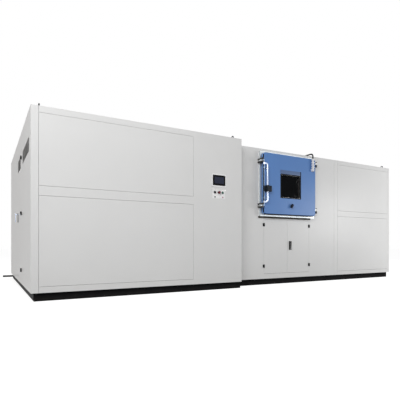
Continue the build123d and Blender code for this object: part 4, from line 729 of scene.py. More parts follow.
def seat(obj, material, body, slot, *replaced):
    """Finish, shading, body and replaced nodes of a piece. The slot is not used."""
    obj.data.materials.clear()
    obj.data.materials.append(finish(material))
    obj.data.shade_smooth()
    obj.data.set_sharp_from_angle(angle=SMOOTH_UNDER)
    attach(obj, body)
    if replaced:
        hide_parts(*replaced)
    return obj


def piece(name, bm, material, body, slot, *replaced):
    """A finished piece from mesh code: plain mesh, at the origin, riding on its body."""
    return seat(unfinished(name, bm), material, body, slot, *replaced)


# Geometry node trees

def seated_copies(name):
    """A piece seated on every vertex of a mesh, turned to face along the vertex's stored direction."""
    g, given, out = open_group(
        name, "GeometryNodeTree",
        [("Places", "NodeSocketGeometry", None), ("Piece", "NodeSocketObject", None),
         ("Scale", "NodeSocketFloat", 1.0), ("Finish", "NodeSocketMaterial", None)],
        [("Geometry", "NodeSocketGeometry")],
    )
    part = g.add("GeometryNodeObjectInfo", {"Object": given["Piece"]}).outputs["Geometry"]
    facing = g.add("GeometryNodeInputNamedAttribute", {"Name": "facing"}, data_type="FLOAT_VECTOR")
    turn = g.add("FunctionNodeAlignRotationToVector", {"Vector": facing.outputs["Attribute"]}, axis="Z")
    spread = g.add(
        "GeometryNodeInstanceOnPoints",
        {"Points": given["Places"], "Instance": part, "Rotation": turn.outputs[0], "Scale": given["Scale"]},
    )
    real = g.add("GeometryNodeRealizeInstances", {0: spread.outputs[0]})
    dressed = g.add("GeometryNodeSetMaterial", {"Geometry": real.outputs[0], "Material": given["Finish"]})
    g.join(dressed.outputs[0], out["Geometry"])
    return g.tree


def ribbed_sleeve(name):
    """A sleeve round an upright line, whose radius swells into evenly spaced ribs."""
    g, given, out = open_group(
        name, "GeometryNodeTree",
        [("Places", "NodeSocketGeometry", None), ("Foot", "NodeSocketVector", (0, 0, 0)),
         ("Top", "NodeSocketVector", (0, 0, 0.2)), ("Core", "NodeSocketFloat", 0.02),
         ("Rib", "NodeSocketFloat", 0.025), ("Ribs", "NodeSocketInt", 8),
         ("Finish", "NodeSocketMaterial", None)],
        [("Geometry", "NodeSocketGeometry")],
    )
    line = g.add("GeometryNodeCurvePrimitiveLine", {"Start": given["Foot"], "End": given["Top"]})
    count = g.math("MULTIPLY", given["Ribs"], 12.0)
    fine = g.add("GeometryNodeResampleCurve", {"Curve": line.outputs[0], "Count": count})
    along = g.add("GeometryNodeSplineParameter").outputs["Factor"]
    turns = g.math("MULTIPLY", along, given["Ribs"])
    phase = g.math("MULTIPLY", turns, 2 * math.pi)
    wave = g.add("ShaderNodeMath", {0: phase}, operation="COSINE")
    radius = g.add(
        "ShaderNodeMapRange",
        {"Value": wave.outputs[0], "From Min": 0.35, "From Max": -0.35,
         "To Min": given["Core"], "To Max": given["Rib"]},
        interpolation_type="SMOOTHSTEP",
    )
    shaped = g.add("GeometryNodeSetCurveRadius", {"Curve": fine.outputs[0], "Radius": radius.outputs[0]})
    circle = g.add("GeometryNodeCurvePrimitiveCircle", {"Resolution": 36, "Radius": 1.0})
    skin = g.add(
        "GeometryNodeCurveToMesh",
        {"Curve": shaped.outputs[0], "Profile Curve": circle.outputs[0], "Scale": radius.outputs[0],
         "Fill Caps": True},
    )
    both = g.add("GeometryNodeJoinGeometry")
    g.join(given["Places"], both.inputs[0])
    g.join(skin.outputs[0], both.inputs[0])
    dressed = g.add("GeometryNodeSetMaterial", {"Geometry": both.outputs[0], "Material": given["Finish"]})
    g.join(dressed.outputs[0], out["Geometry"])
    return g.tree


def grown(name, start, build, **inputs):
    """The plain mesh that a geometry tree makes from a start mesh. The modifier is gone afterwards."""
    obj = plain_object(name, start)
    modifier = obj.modifiers.new("grow", "NODES")
    modifier.node_group = group_once(build.__name__, build)
    for socket in modifier.node_group.interface.items_tree:
        if socket.in_out == "INPUT" and socket.name in inputs:
            modifier[socket.identifier] = inputs[socket.name]
    graph = bpy.context.evaluated_depsgraph_get()
    graph.update()
    made = bpy.data.meshes.new_from_object(obj.evaluated_get(graph), depsgraph=graph)
    obj.modifiers.clear()
    obj.data = made
    made.name = name
    return obj


def places_mesh(name, places):
    """A mesh of single vertices, each with the direction it faces."""
    mesh = bpy.data.meshes.new(name)
    mesh.from_pydata([tuple(place) for place, facing in places], [], [])
    attribute = mesh.attributes.new("facing", "FLOAT_VECTOR", "POINT")
    for k, (place, facing) in enumerate(places):
        attribute.data[k].vector = facing
    return mesh


def scatter(name, places, pattern, material, body, slot, *replaced):
    """Copies of a pattern piece at each place, as one plain mesh on one body. The pattern is removed."""
    obj = grown(
        name, places_mesh(name, places), seated_copies,
        Piece=pattern, Scale=1.0, Finish=finish(material),
    )
    bpy.data.objects.remove(pattern)
    return seat(obj, material, body, slot, *replaced)


# Pieces

FRONT = (0, -1, 0)
LEFT = (-1, 0, 0)
RUBBER_WIDTH = 17 * MM
RUBBER_CORNER = 14 * MM
RUBBER_LIP = 2 * MM
HEADER_THICK = 2.5 * MM
HEADER_SHADE_STRIP = 18 * MM
KEEPER_GAP = 4 * MM
KEEPER_SPAN = 82 * MM
STRIP_OUT = 6 * MM
STRIP_LAP = 3 * MM
STRIP_SINK = 5 * MM
UNDER_DOOR_SHADE_DROP = 9 * MM
UNDER_DOOR_SHADE_LAP = 10 * MM
UNDER_DOOR_SHADE_DEEP = 14 * MM
FRAME_SHADOW_DROP = 33 * MM
FRAME_SHADOW_DEEP = 12 * MM
FRAME_SHADOW_SHORT = 70 * MM
SHADE_STRIP_START = 4 * MM
GRIP_RADIUS = 15 * MM
GRIP_BEND = 30 * MM
GRIP_HUB = 16 * MM
LOCK_HALF_WIDTH = 26.5 * MM
LOCK_BACK = 21 * MM
LOCK_KNOB = 20 * MM
LOCK_KNOB_RINGS = 5
LOCK_KNOB_END = 10 * MM
LOCK_KNOB_RIM = 4 * MM
WIPER_TILT = -55
CABLE_START = 80 * MM
CABLE_BENDS = ((96 * MM, 0.0), (30 * MM, 1 * MM), (2 * MM, -26 * MM), (0.0, -60 * MM))
BOOT_RIB = 28 * MM
BOOT_FOOT_HALF = 24 * MM
BOOT_FOOT_HEIGHT = 46 * MM
PLATE_LEFT = 20 * MM
PLATE_RIGHT = 24 * MM
PLATE_TOP = 16 * MM
PLATE_BOTTOM = 12 * MM
STEM = 8 * MM
STOP_SHARE = 0.9
STOP_SINK = 8 * MM
LEAF_LEVER_SHARE = 0.62
LEVER_THICK = 10 * MM
LEVER_PIVOT_DROP = 18 * MM
LEVER_CAM = 8 * MM


class CHAMBER_OT_lifting_eyes(bpy.types.Operator):
    """Forged eye bolts at the roof corners"""

    bl_idname = "chamber.lifting_eyes"
    bl_label = "Lifting Eyes"

    def execute(self, context):
        wire = sizes().eye_wire
        boxes = solid_boxes("eye_bolts")
        width, height = extent(boxes[0]).x, extent(boxes[0]).z
        ring = width / 2 - wire
        centre = height - width / 2
        foot, shoulder = width * 0.36, width * 0.3
        collar = [
            (foot, 0.0), (foot, 6 * MM), (shoulder, 10 * MM), (wire, 14 * MM), (wire * 0.9, centre - ring),
        ]
        bm = bmesh.new()
        add_turned(bm, collar, (0, 0, 0))
        loop = [Vector((0, y, z)) for y, z in arc(0.0, centre, ring, 0, 360, 40)]
        add_tube(bm, loop, wire, sides=20)
        bmesh.ops.remove_doubles(bm, verts=bm.verts, dist=MERGE)
        places = [(Vector((middle(box).x, middle(box).y, box[0].z)), (0, 0, 1)) for box in boxes]
        scatter(
            "lifting_eye_set", places, unfinished("eye_pattern", bm), "black_cast", "cabinet",
            "black_metal", "eye_bolts",
        )
        return {"FINISHED"}


class CHAMBER_OT_window(bpy.types.Operator):
    """Black rubber round the window, and the bare plate over it with a black strip of painted shade at its
    right end
    """

    bl_idname = "chamber.window"
    bl_label = "Window"

    def execute(self, context):
        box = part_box("window_frame")
        centre = middle(box)
        width, depth, height = extent(box)
        face = Vector((centre.x, box[1].y, centre.z))
        section = [
            (-RUBBER_WIDTH, 0.0), (-RUBBER_WIDTH, depth * 0.5), (-RUBBER_WIDTH + RUBBER_LIP, depth * 0.8),
            (-RUBBER_WIDTH / 2, depth), (-RUBBER_LIP, depth * 0.8), (0.0, depth * 0.45), (0.0, 0.0),
        ]
        bm = bmesh.new()
        add_ring(bm, face, width, height, RUBBER_CORNER, section)
        piece("window_rubber", bm, "black_rubber_and_shade", "main_door", "black_plastic", "window_frame")

        plate = sizes().header_plate
        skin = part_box("door_skin")[0].y
        left, right = box[0].x, box[1].x - HEADER_SHADE_STRIP
        low, high = box[1].z, box[1].z + plate
        spot = Vector(((left + right) / 2, skin, (low + high) / 2))
        bm = bmesh.new()
        add_plate(bm, spot, right - left, plate, 4 * MM, HEADER_THICK, 1 * MM)
        piece("window_header_plate", bm, "header_blue", "main_door", "blue_paint")
        # A black strip at the plate's right end stands as painted shade.
        bm = bmesh.new()
        add_block(bm, (right, skin - HEADER_THICK, low - 4 * MM), (box[1].x, skin, high), 1 * MM)
        piece("window_header_trim", bm, "black_rubber_and_shade", "main_door", "black_plastic")
        return {"FINISHED"}


class CHAMBER_OT_door_seals(bpy.types.Operator):
    """Black strips as painted shade along the door's lock edge and under it, and a dark strip as painted
    shadow under its frame
    """

    bl_idname = "chamber.door_seals"
    bl_label = "Door Shade Strips"

    def execute(self, context):
        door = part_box("door_skin")
        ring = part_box("door_frame")
        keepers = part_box("door_keepers")
        corner = sizes().door_corner
        spans = (
            (door[0].z + corner * 0.5, keepers[0].z - KEEPER_GAP),
            (keepers[0].z + KEEPER_SPAN, keepers[1].z - KEEPER_SPAN),
            (keepers[1].z + KEEPER_GAP, door[1].z - corner * 0.7),
        )
        # Black strips along the lock edge stand as painted shade of the door's side.
        bm = bmesh.new()
        for low, high in spans:
            add_block(
                bm, (door[0].x - STRIP_OUT, door[0].y + STRIP_SINK, low),
                (door[0].x + STRIP_LAP, ring[0].y - 1 * MM, high), 2 * MM,
            )
        # A black strip under the door's bottom edge stands as painted shade of its underside.
        add_block(
            bm, (door[0].x + SHADE_STRIP_START, door[0].y - 1 * MM, door[0].z - UNDER_DOOR_SHADE_DROP),
            (door[1].x - corner * 1.2, door[0].y + UNDER_DOOR_SHADE_DEEP, door[0].z + UNDER_DOOR_SHADE_LAP), 3 * MM,
        )
        piece("door_edge_seal", bm, "black_rubber_and_shade", "main_door", "rubber")
        # A dark strip under the door frame stands as painted shadow beneath it.
        bm = bmesh.new()
        add_block(
            bm, (ring[0].x + SHADE_STRIP_START, ring[1].y - FRAME_SHADOW_DEEP, ring[0].z - FRAME_SHADOW_DROP),
            (ring[1].x - FRAME_SHADOW_SHORT, ring[1].y, ring[0].z - 1 * MM), 3 * MM,
        )
        piece("door_frame_sealant", bm, "frame_sealant", "cabinet", "rubber")
        return {"FINISHED"}


class CHAMBER_OT_door_lock(bpy.types.Operator):
    """Chrome grip bar, black lock body with its ribbed knob, release button and catch"""

    bl_idname = "chamber.door_lock"
    bl_label = "Door Lock"

    def execute(self, context):
        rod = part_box("lock_rod")
        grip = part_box("grip_bar")
        rod_radius = extent(rod).y / 2
        rod_x, rod_y = rod[1].x - rod_radius, middle(rod).y
        grip_x, grip_y = grip[1].x - GRIP_RADIUS, grip[0].y + GRIP_RADIUS
        low, high = grip[0].z + GRIP_HUB, grip[1].z - GRIP_HUB
        corners = [(rod_x, rod_y, low), (grip_x, grip_y, low), (grip_x, grip_y, high), (rod_x, rod_y, high)]
        hub = GRIP_RADIUS + 2 * MM
        hub_profile = [
            (hub * 0.9, -GRIP_HUB), (hub, -GRIP_HUB + 2 * MM), (hub, GRIP_HUB - 2 * MM),
            (hub * 0.9, GRIP_HUB),
        ]
        sleeve = [(GRIP_RADIUS + 1.6 * MM, 0.0), (GRIP_RADIUS + 1.6 * MM, 6 * MM)]
        bm = bmesh.new()
        add_tube(bm, bent_path(corners, GRIP_BEND, 10), GRIP_RADIUS, sides=32)
        for z in (low, high):
            add_turned(bm, hub_profile, (rod_x, rod_y, z), steps=32)
            along = Vector((grip_x, grip_y, z)) - Vector((rod_x, rod_y, z))
            start = Vector((rod_x, rod_y, z)) + along.normalized() * hub * 0.9
            add_turned(bm, sleeve, start, along, steps=32)
        piece("door_grip_bar", bm, "chrome", "lock_handle", "chrome", "grip_bar")

        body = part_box("lock_body")
        left, right = grip_x - LOCK_HALF_WIDTH, grip_x + LOCK_HALF_WIDTH
        back = grip_y + LOCK_BACK
        bm = bmesh.new()
        add_block(bm, (left, body[0].y, body[0].z), (right, back, body[1].z), 7 * MM, 4)
        knob_low, knob_high = body[0].z + LOCK_KNOB_END, body[1].z - LOCK_KNOB_END
        ribs_low, ribs_high = knob_low + LOCK_KNOB_RIM, knob_high - LOCK_KNOB_RIM
        rib = (ribs_high - ribs_low) / LOCK_KNOB_RINGS
        profile = [(LOCK_KNOB * 0.8, knob_low), (LOCK_KNOB, ribs_low)]
        for k in range(LOCK_KNOB_RINGS):
            z = ribs_low + rib * k
            profile += [
                (LOCK_KNOB, z + rib * 0.15), (LOCK_KNOB * 0.93, z + rib * 0.5), (LOCK_KNOB, z + rib * 0.85),
            ]
        profile += [(LOCK_KNOB, ribs_high), (LOCK_KNOB * 0.8, knob_high)]
        add_turned(bm, profile, (rod_x, rod_y, 0))
        add_block(
            bm, (rod_x, grip_y - 2 * MM, ribs_low), (left + 8 * MM, back - 3 * MM, ribs_high), 3 * MM,
        )
        piece("door_lock_body", bm, "lock_plastic", "lock_handle", "black_plastic", "lock_body")

        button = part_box("lock_button")
        radius, length = extent(button).x / 2, extent(button).y
        spot = middle(button)
        rim = 2 * MM
        profile = [
            (radius, 0.0), (radius, length - rim), *arc(radius - rim, length - rim, rim, 0, 90),
            (radius * 0.55, length - 0.6 * MM),
        ]
        bm = bmesh.new()
        add_turned(bm, profile, (spot.x, button[1].y, spot.z), FRONT)
        piece("door_release_button", bm, "lock_plastic", "lock_release", "black_plastic", "lock_button")

        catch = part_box("lock_catch")
        bm = bmesh.new()
        add_block(bm, *catch, 8 * MM, 4)
        piece("door_lock_catch", bm, "lock_plastic", "main_door", "black_plastic", "lock_catch")
        return {"FINISHED"}


class CHAMBER_OT_wiper(bpy.types.Operator):
    """Winged knob of the window wiper and the disc behind it"""

    bl_idname = "chamber.wiper"
    bl_label = "Window Wiper"

    def execute(self, context):
        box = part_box("wiper_knob")
        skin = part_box("door_skin")[0].y
        axis = Vector((middle(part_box("wiper_arm")).x, skin, middle(box).z))
        front = box[0].y
        reach = skin - front
        stem, neck, grip, rim = 6 * MM, 14 * MM, 20 * MM, 6 * MM
        profile = [
            (neck, 0.3 * MM), (neck, 12 * MM), (grip, 16 * MM), (grip, reach - 10 * MM),
            *arc(grip - rim, reach - 10 * MM, rim, 0, 90),
        ]
        bm = bmesh.new()
        add_turned(bm, [(stem, -(box[1].y - skin)), (stem, 0.0)], axis, FRONT)
        add_turned(bm, profile, axis, FRONT)
        wings = Vector((35 * MM, 17 * MM, 19 * MM))
        spot = Vector((axis.x, front + wings.y, axis.z))
        turn = Matrix.Rotation(math.radians(WIPER_TILT), 3, "Y")
        add_block(bm, spot - wings, spot + wings, 8 * MM, 4, turn)
        piece("wiper_winged_knob", bm, "knob_plastic", "window_wiper", "black_plastic", "wiper_knob")

        disc, disc_width, disc_thick = 22 * MM, 7.2 * MM, 3.5 * MM
        section = [
            (-disc_width, 0.0), (-disc_width, disc_thick), (-2 * MM, disc_thick), (0.0, 2 * MM), (0.0, 0.0),
        ]
        bm = bmesh.new()
        add_ring(bm, axis, 2 * disc, 2 * disc, disc, section)
        piece("wiper_escutcheon", bm, "blue_reflection_steel", "main_door", "stainless")
        return {"FINISHED"}


class CHAMBER_OT_door_cable(bpy.types.Operator):
    """Cable over the roof's edge, its ribbed boot on the door and its gland"""

    bl_idname = "chamber.door_cable"
    bl_label = "Door Cable"

    def execute(self, context):
        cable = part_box("door_cable")
        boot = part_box("door_cable_boot")
        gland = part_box("roof_cable_gland")
        radius = sizes().cable_radius
        x = middle(cable).x
        level = gland[0].z + radius + 0.5 * MM
        front = cable[0].y + extent(cable).x / 2
        back = cable[1].y
        route = [(x, back, level), (x, back - CABLE_START, level)]
        route += [(x, front + behind, level + rise) for behind, rise in CABLE_BENDS]
        route.append((x, front, cable[0].z))
        curve = bpy.data.curves.new("door_cable_route", "CURVE")
        curve.dimensions = "3D"
        curve.bevel_depth = radius
        curve.bevel_resolution = 5
        curve.resolution_u = 10
        curve.use_fill_caps = True
        spline = curve.splines.new("NURBS")
        spline.points.add(len(route) - 1)
        for point, place in zip(spline.points, route):
            point.co = (*place, 1.0)
        spline.order_u = 3
        spline.use_endpoint_u = True
        line = plain_object("door_cable_line", curve)
        graph = bpy.context.evaluated_depsgraph_get()
        mesh = bpy.data.meshes.new_from_object(line.evaluated_get(graph), depsgraph=graph)
        bpy.data.objects.remove(line)
        obj = plain_object("door_cable_sheath", mesh)
        mesh.materials.clear()
        mesh.materials.append(finish("black_rubber_and_shade"))
        mesh.shade_smooth()
        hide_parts("door_cable")
        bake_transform(obj)

        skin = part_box("door_skin")[0].y
        low, high = boot[0].z, boot[1].z
        collar = low + 3 * MM
        bm = bmesh.new()
        add_block(
            bm, (x - BOOT_FOOT_HALF, front, low), (x + BOOT_FOOT_HALF, skin, low + BOOT_FOOT_HEIGHT), 4 * MM,
        )
        add_turned(bm, [(BOOT_RIB * 0.86, low), (BOOT_RIB * 0.95, collar)], (x, front, 0))
        sleeve = grown(
            "door_cable_boot_ribbed", raw_mesh("boot_foot", bm), ribbed_sleeve,
            Foot=(x, front, collar), Top=(x, front, high), Core=BOOT_RIB * 0.62, Rib=BOOT_RIB,
            Ribs=sizes().boot_ribs, Finish=finish("boot_plastic"),
        )
        seat(sleeve, "boot_plastic", "main_door", "grey_plastic", "door_cable_boot")

        bm = bmesh.new()
        add_block(bm, *gland, 5 * MM, 3)
        piece("roof_gland_box", bm, "black_plastic", "cabinet", "black_plastic", "roof_cable_gland")
        return {"FINISHED"}


class CHAMBER_OT_screen(bpy.types.Operator):
    """Touch screen with its sunk glass and white surround, and the plate behind the switches"""

    bl_idname = "chamber.screen"
    bl_label = "Touch Screen"

    def execute(self, context):
        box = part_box("hmi_bezel")
        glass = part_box("hmi_screen")
        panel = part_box("control_panel")[0].y
        face = Vector((middle(box).x, panel, middle(box).z))
        width, height = extent(box).x, extent(box).z
        pane_width, pane_height = extent(glass).x, extent(glass).z
        proud = panel - box[0].y
        sunk, pane_corner, flare, inset = 1.5 * MM, 2 * MM, 1.2 * MM, 12 * MM
        levels = [(0.0, 0.0), (0.0, proud - 2 * MM), (-0.6 * MM, proud - 0.6 * MM), (-2 * MM, proud)]
        bm = bmesh.new()
        rings = outline_rings(bm, face, rounded_outline(width, height, 8 * MM), levels)
        for extra, forward in ((flare, proud), (0.0, proud - sunk)):
            mouth = rounded_outline(pane_width + 2 * extra, pane_height + 2 * extra, pane_corner)
            rings += outline_rings(bm, face, mouth, [(0.0, forward)])
        close_rings(bm, rings)
        add_block(
            bm, (box[0].x + inset, panel, box[0].z + inset), (box[1].x - inset, box[1].y, box[1].z - inset),
            2 * MM,
        )
        piece("screen_bezel", bm, "black_plastic", "cabinet", "black_plastic", "hmi_bezel")
        bm = bmesh.new()
        spot = Vector((face.x, panel - proud + sunk, face.z))
        add_plate(bm, spot, pane_width, pane_height, pane_corner, 0.7 * MM, 0.4 * MM)
        piece("screen_pane", bm, "screen_glass", "cabinet", "screen_glass", "hmi_screen")

        wide, thick, edge = 19 * MM, 2 * MM, 1.2 * MM
        section = [
            (-wide, 0.0), (-wide, edge), (-wide + 1 * MM, thick), (-1 * MM, thick), (0.0, edge), (0.0, 0.0),
        ]
        bm = bmesh.new()
        add_ring(bm, face, width + 2 * wide, height + 2 * wide, 20 * MM, section)
        piece("screen_surround", bm, "bright_enamel", "cabinet", "white_paint")

        collars = solid_boxes("switch_collars")
        lamps = solid_boxes("indicator_lamps")
        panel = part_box("front_panels")[0].y
        left, right = collars[0][0].x - PLATE_LEFT, collars[-1][1].x + PLATE_RIGHT
        top, bottom = collars[0][1].z + PLATE_TOP, lamps[0][0].z - PLATE_BOTTOM
        spot = Vector(((left + right) / 2, panel, (top + bottom) / 2))
        bm = bmesh.new()
        add_plate(bm, spot, right - left, top - bottom, 5 * MM, 1.5 * MM, 0.6 * MM)
        piece("switch_plate", bm, "bright_enamel", "cabinet", "white_paint")
        bm = bmesh.new()
        add_block(
            bm, (left - 16 * MM, panel - 2.5 * MM, top + 2 * MM), (right + 14 * MM, panel, top + 8 * MM),
            0.8 * MM,
        )
        piece("switch_plate_lip", bm, "satin_stainless", "cabinet", "stainless")
        return {"FINISHED"}


def add_on_panel(bm, profile, box, panel):
    """A turned shape that stands on the panel's face, round the middle of its solid."""
    spot = middle(box)
    add_turned(bm, profile, (spot.x, panel, spot.z), FRONT)


class CHAMBER_OT_switches(bpy.types.Operator):
    """Selector, stop mushroom, start button and lamps, with their collars and rings"""

    bl_idname = "chamber.switches"
    bl_label = "Switches and Lamps"

    def execute(self, context):
        collars = solid_boxes("switch_collars")
        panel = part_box("front_panels")[0].y
        proud = panel - collars[0][0].y
        self.collars(collars, panel, proud)
        self.stop(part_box("estop_button"), panel)
        self.start(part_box("start_button"), panel, proud)
        self.selector(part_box("selector_knob"), panel, proud)
        self.lamps(solid_boxes("indicator_lamps"), panel)
        return {"FINISHED"}

    def collars(self, boxes, panel, proud):
        """The black collar of each switch, with its neck through the panel, and its bright ring."""
        neck, radius, rim = 11 * MM, 19 * MM, 3 * MM
        collar = [
            (neck, -40 * MM), (neck, 0.0), (radius, 0.0), (radius, proud - rim),
            *arc(radius - rim, proud - rim, rim, 0, 90, 4), (radius - 5 * MM, proud - 1.5 * MM),
        ]
        inner, outer = 13.6 * MM, 16.4 * MM
        bright = [
            (inner, proud - 2 * MM), (outer, proud - 2 * MM), (outer, proud + 0.2 * MM),
            (outer - 0.8 * MM, proud + 0.6 * MM), (inner + 1 * MM, proud + 0.2 * MM),
        ]
        bm = bmesh.new()
        for box in boxes:
            add_on_panel(bm, collar, box, panel)
        piece("switch_collar_set", bm, "black_plastic", "cabinet", "black_plastic", "switch_collars")
        bm = bmesh.new()
        for box in boxes:
            add_on_panel(bm, bright, box, panel)
        piece("switch_bright_rings", bm, "blue_reflection_steel", "cabinet", "chrome")

    def stop(self, box, panel):
        """The stop switch's mushroom head, a little smaller and lower than its solid."""
        radius = extent(box).x / 2 * STOP_SHARE
        reach = panel - box[0].y - STOP_SINK
        crown = 9 * MM
        profile = [
            (STEM, -(box[1].y - panel)), (STEM, reach - 24 * MM), (radius - 4 * MM, reach - 22 * MM),
            (radius, reach - 17 * MM), (radius, reach - 10 * MM),
            *arc(radius - crown, reach - crown, crown, 0, 80, 6), (radius * 0.3, reach - 0.2 * MM),
        ]
        bm = bmesh.new()
        add_on_panel(bm, profile, box, panel)
        piece("stop_mushroom", bm, "red_button", "stop_switch", "red_plastic", "estop_button")

    def start(self, box, panel, proud):
        radius, reach, rim = extent(box).x / 2, panel - box[0].y, 2 * MM
        profile = [
            (STEM, -(box[1].y - panel)), (STEM, proud + 5 * MM), (radius, proud + 5 * MM),
            *arc(radius - rim, reach - rim, rim, 0, 90, 4), (radius * 0.8, reach - 0.8 * MM),
        ]
        bm = bmesh.new()
        add_on_panel(bm, profile, box, panel)
        piece("start_cap", bm, "green_button", "start_switch", "green_plastic", "start_button")

    def selector(self, box, panel, proud):
        """The selector's round foot and the short lever across it."""
        spot, radius, reach, rim = middle(box), extent(box).x / 2, panel - box[0].y, 2 * MM
        foot = reach - 10 * MM
        profile = [
            (STEM, -(box[1].y - panel)), (STEM, proud), (radius, proud + 0.3 * MM), (radius, foot),
            *arc(radius - rim, foot, rim, 0, 90, 4),
        ]
        bm = bmesh.new()
        add_on_panel(bm, profile, box, panel)
        half = Vector((4 * MM, 4.5 * MM, radius - 1 * MM))
        place = Vector((spot.x, panel - reach + half.y, spot.z))
        add_block(bm, place - half, place + half, 2.5 * MM, 3)
        piece("selector_lever", bm, "black_plastic", "selector_switch", "black_plastic", "selector_knob")

    def lamps(self, boxes, panel):
        """Both domed lamps. The first stands for the frame's node, which holds the two of them."""
        for name, box, tint in zip(("run_lamp", "fault_lamp"), boxes, ("green_lamp", "red_lamp")):
            radius, reach = extent(box).x / 2, panel - box[0].y
            profile = [
                (radius * 0.9, -(box[1].y - panel)), (radius * 0.9, 0.0), (radius, 0.0),
                (radius, reach * 0.35), (radius * 0.82, reach * 0.45),
                *arc(radius * 0.45, reach * 0.5, radius * 0.37, 0, 90, 6),
            ]
            bm = bmesh.new()
            add_on_panel(bm, profile, box, panel)
            made = piece(name, bm, tint, "cabinet", "lamp_plastic")
            if name == "run_lamp":
                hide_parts("indicator_lamps")


class CHAMBER_OT_levers(bpy.types.Operator):
    """Levers of the lower doors and of the maintenance door"""

    bl_idname = "chamber.levers"
    bl_label = "Door Levers"

    def execute(self, context):
        self.lever(
            "leaf_lever_arm", "leaf_latch", "leaf_lever", "black_cast", "black_metal", FRONT,
            LEAF_LEVER_SHARE,
        )
        self.lever("side_lever_arm", "side_latch", "side_lever", "chrome", "chrome", LEFT, 1.0)
        return {"FINISHED"}

    def lever(self, name, node, body, material, slot, out, slender):
        """A paddle that tapers downwards from its pivot, with a shaft and a cam. slender is its width
        as a share of its solid's, and makes it thinner as well."""
        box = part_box(node)
        out = Vector(out)
        across = Vector((0, 0, 1)).cross(out)
        spot = middle(box)
        origin = spot - out * spot.dot(out)
        origin.z = 0.0
        back, front = sorted(corner.dot(out) for corner in box)
        half = abs(extent(box).dot(across)) / 2 * slender
        low, top = box[0].z, box[1].z
        thick = LEVER_THICK * slender
        # Each row is a height, a share of the half width and how far the face lies back there.
        rows = (
            (top, 0.6, 0.0), (top - 12 * MM, 1.0, 0.0), (top - 34 * MM, 1.0, 0.0),
            (low + 30 * MM, 0.62, 3 * MM), (low + 12 * MM, 0.66, 0.0), (low, 0.6, 0.0),
        )
        bm = bmesh.new()
        rings = []
        for z, share, sunk in rows:
            ring = []
            for a, depth in ((-1, front - thick - sunk), (-0.8, front - sunk), (0.8, front - sunk),
                             (1, front - thick - sunk)):
                place = origin + across * (a * share * half) + out * depth
                place.z = z
                ring.append(bm.verts.new(place))
            rings.append(ring)
        close_rings(bm, rings)
        bmesh.ops.bevel(
            bm, geom=list(bm.edges), offset=1.6 * MM, segments=2, profile=0.5, affect="EDGES",
            clamp_overlap=True,
        )
        pivot = origin.copy()
        pivot.z = top - LEVER_PIVOT_DROP
        stem = half * 0.85
        shaft = 6 * MM
        profile = [
            (shaft, back), (shaft, front - thick - 22 * MM), (stem, front - thick - 20 * MM),
            (stem, front - thick + 2 * MM),
        ]
        add_turned(bm, profile, pivot, out, steps=32)
        near, far = pivot + out * back, pivot + out * (back + 4 * MM)
        near, far = near - across * LEVER_CAM, far + across * LEVER_CAM
        lo, hi = Vector(map(min, near, far)), Vector(map(max, near, far))
        lo.z, hi.z = pivot.z - 30 * MM, pivot.z + LEVER_CAM
        add_block(bm, lo, hi, 1 * MM)
        piece(name, bm, material, body, slot, node)


# Stage

CAMERA_PLACE = (-3.932, -6.6655, 0.665)
CAMERA_YAW = math.radians(29.4)
CAMERA_LENS = 34.43
CAMERA_SENSOR = 36.0
WORLD_SHADE = 0.36
FLOOR_HALF = 60.0
FLOOR_SINK = 0.5 * MM
WHITE = (1.0, 1.0, 1.0)
LIGHTS = (
    ("key_light", (-4.6, -6.2, 4.2), (0.0, -1.8, 1.2), (4.0, 2.0), 225.0, WHITE),
    ("right_light", (5.2, -5.0, 1.5), (2.0, -1.6, 0.9), (1.8, 1.4), 88.0, WHITE),
    ("left_light", (-9.0, 1.0, 4.5), (-3.4, 0.5, 1.9), (3.0, 2.0), 13.0, (1.0, 0.68, 0.40)),
    ("rear_light", (7.5, 6.5, 5.0), (1.0, 0.8, 1.2), (5.0, 3.0), 420.0, WHITE),
)


def area_light(name, place, target, size, power, colour):
    """A rectangular light, in watts, that faces its target."""
    data = bpy.data.lights.new(name, "AREA")
    data.shape = "RECTANGLE"
    data.size, data.size_y = size
    data.energy = power
    data.color = colour
    obj = plain_object(name, data)
    obj.location = place
    aim = Vector(target) - Vector(place)
    obj.rotation_euler = aim.to_track_quat("-Z", "Y").to_euler()


def seen_directly(t):
    """1 for camera, glossy and transmission rays, 0 for the rest."""
    path = t.add("ShaderNodeLightPath").outputs
    some = t.math("MAXIMUM", path["Is Camera Ray"], path["Is Glossy Ray"])
    return t.math("MAXIMUM", some, path["Is Transmission Ray"])


def white_surround():
    """A world that looks white and lights the chamber at a plain level."""
    world = bpy.data.worlds.new("studio")
    bpy.context.scene.world = world
    world.use_nodes = True
    t = Tree(world.node_tree)
    level = t.ranged(seen_directly(t), 0.0, 1.0, WORLD_SHADE, 1.0)
    back = world.node_tree.nodes["Background"]
    back.inputs["Color"].default_value = (1.0, 1.0, 1.0, 1.0)
    t.join(level, back.inputs["Strength"])


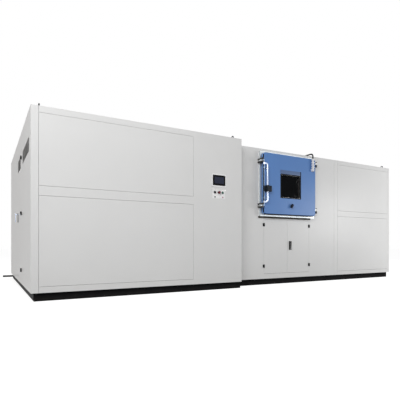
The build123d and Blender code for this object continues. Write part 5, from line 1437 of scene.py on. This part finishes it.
def pale_floor():
    """A wide floor that looks white apart from the chamber's shadow."""
    made = bpy.data.materials.new("studio_floor")
    made.use_nodes = True
    t = Tree(made.node_tree)
    made.node_tree.nodes.remove(made.node_tree.nodes["Principled BSDF"])
    matt = t.add("ShaderNodeBsdfDiffuse", {"Color": (0.5, 0.5, 0.5, 1.0)})
    lift = t.add("ShaderNodeEmission", {"Color": (1.0, 1.0, 1.0, 1.0), "Strength": 0.8})
    none = t.add("ShaderNodeEmission", {"Strength": 0.0})
    shown = t.add("ShaderNodeMixShader", {0: seen_directly(t), 1: none.outputs[0], 2: lift.outputs[0]})
    both = t.add("ShaderNodeAddShader", {0: matt.outputs[0], 1: shown.outputs[0]})
    t.join(both.outputs[0], made.node_tree.nodes["Material Output"].inputs["Surface"])

    mesh = bpy.data.meshes.new("floor")
    corners = [(x * FLOOR_HALF, y * FLOOR_HALF, 0.0) for x, y in ((-1, -1), (1, -1), (1, 1), (-1, 1))]
    mesh.from_pydata(corners, [], [(0, 1, 2, 3)])
    mesh.materials.append(made)
    floor = plain_object("floor", mesh)
    floor.location.z = -FLOOR_SINK


class CHAMBER_OT_stage(bpy.types.Operator):
    """Set the floor, the light and the camera"""

    bl_idname = "chamber.stage"
    bl_label = "Stage"

    def execute(self, context):
        scene = context.scene
        scene.view_settings.view_transform = "Standard"
        white_surround()
        pale_floor()
        for light in LIGHTS:
            area_light(*light)
        data = bpy.data.cameras.new("camera")
        data.sensor_width = CAMERA_SENSOR
        data.lens = CAMERA_LENS
        data.shift_y = (HORIZON_PIXEL - PHOTO_PIXELS / 2) / PHOTO_PIXELS
        data.clip_end = 300.0
        camera = plain_object("camera", data)
        camera.location = CAMERA_PLACE
        camera.rotation_euler = (math.radians(90), 0.0, -CAMERA_YAW)
        scene.camera = camera
        return {"FINISHED"}


class CHAMBER_PT_panel(bpy.types.Panel):
    """Sizes, colours and build steps of the test chamber"""

    bl_idname = "CHAMBER_PT_panel"
    bl_label = "Test Chamber"
    bl_space_type = "VIEW_3D"
    bl_region_type = "UI"
    bl_category = "Chamber"

    def draw(self, context):
        layout = self.layout
        for group in (context.scene.chamber_sizes, context.scene.chamber_colours):
            box = layout.box()
            for name in group.__annotations__:
                box.prop(group, name)
        for step in STEPS:
            layout.operator(step.bl_idname)


STEPS = (
    CHAMBER_OT_finishes,
    CHAMBER_OT_lifting_eyes,
    CHAMBER_OT_window,
    CHAMBER_OT_door_seals,
    CHAMBER_OT_door_lock,
    CHAMBER_OT_wiper,
    CHAMBER_OT_door_cable,
    CHAMBER_OT_screen,
    CHAMBER_OT_switches,
    CHAMBER_OT_levers,
    CHAMBER_OT_stage,
)
CLASSES = (ChamberSizes, ChamberColours, *STEPS, CHAMBER_PT_panel)


def register():
    for kind in CLASSES:
        bpy.utils.register_class(kind)
    bpy.types.Scene.chamber_sizes = PointerProperty(type=ChamberSizes)
    bpy.types.Scene.chamber_colours = PointerProperty(type=ChamberColours)


def unregister():
    del bpy.types.Scene.chamber_colours
    del bpy.types.Scene.chamber_sizes
    for kind in reversed(CLASSES):
        bpy.utils.unregister_class(kind)


def main():
    register()
    for step in STEPS:
        group, name = step.bl_idname.split(".")
        getattr(getattr(bpy.ops, group), name)()


if __name__ == "__main__":
    main()
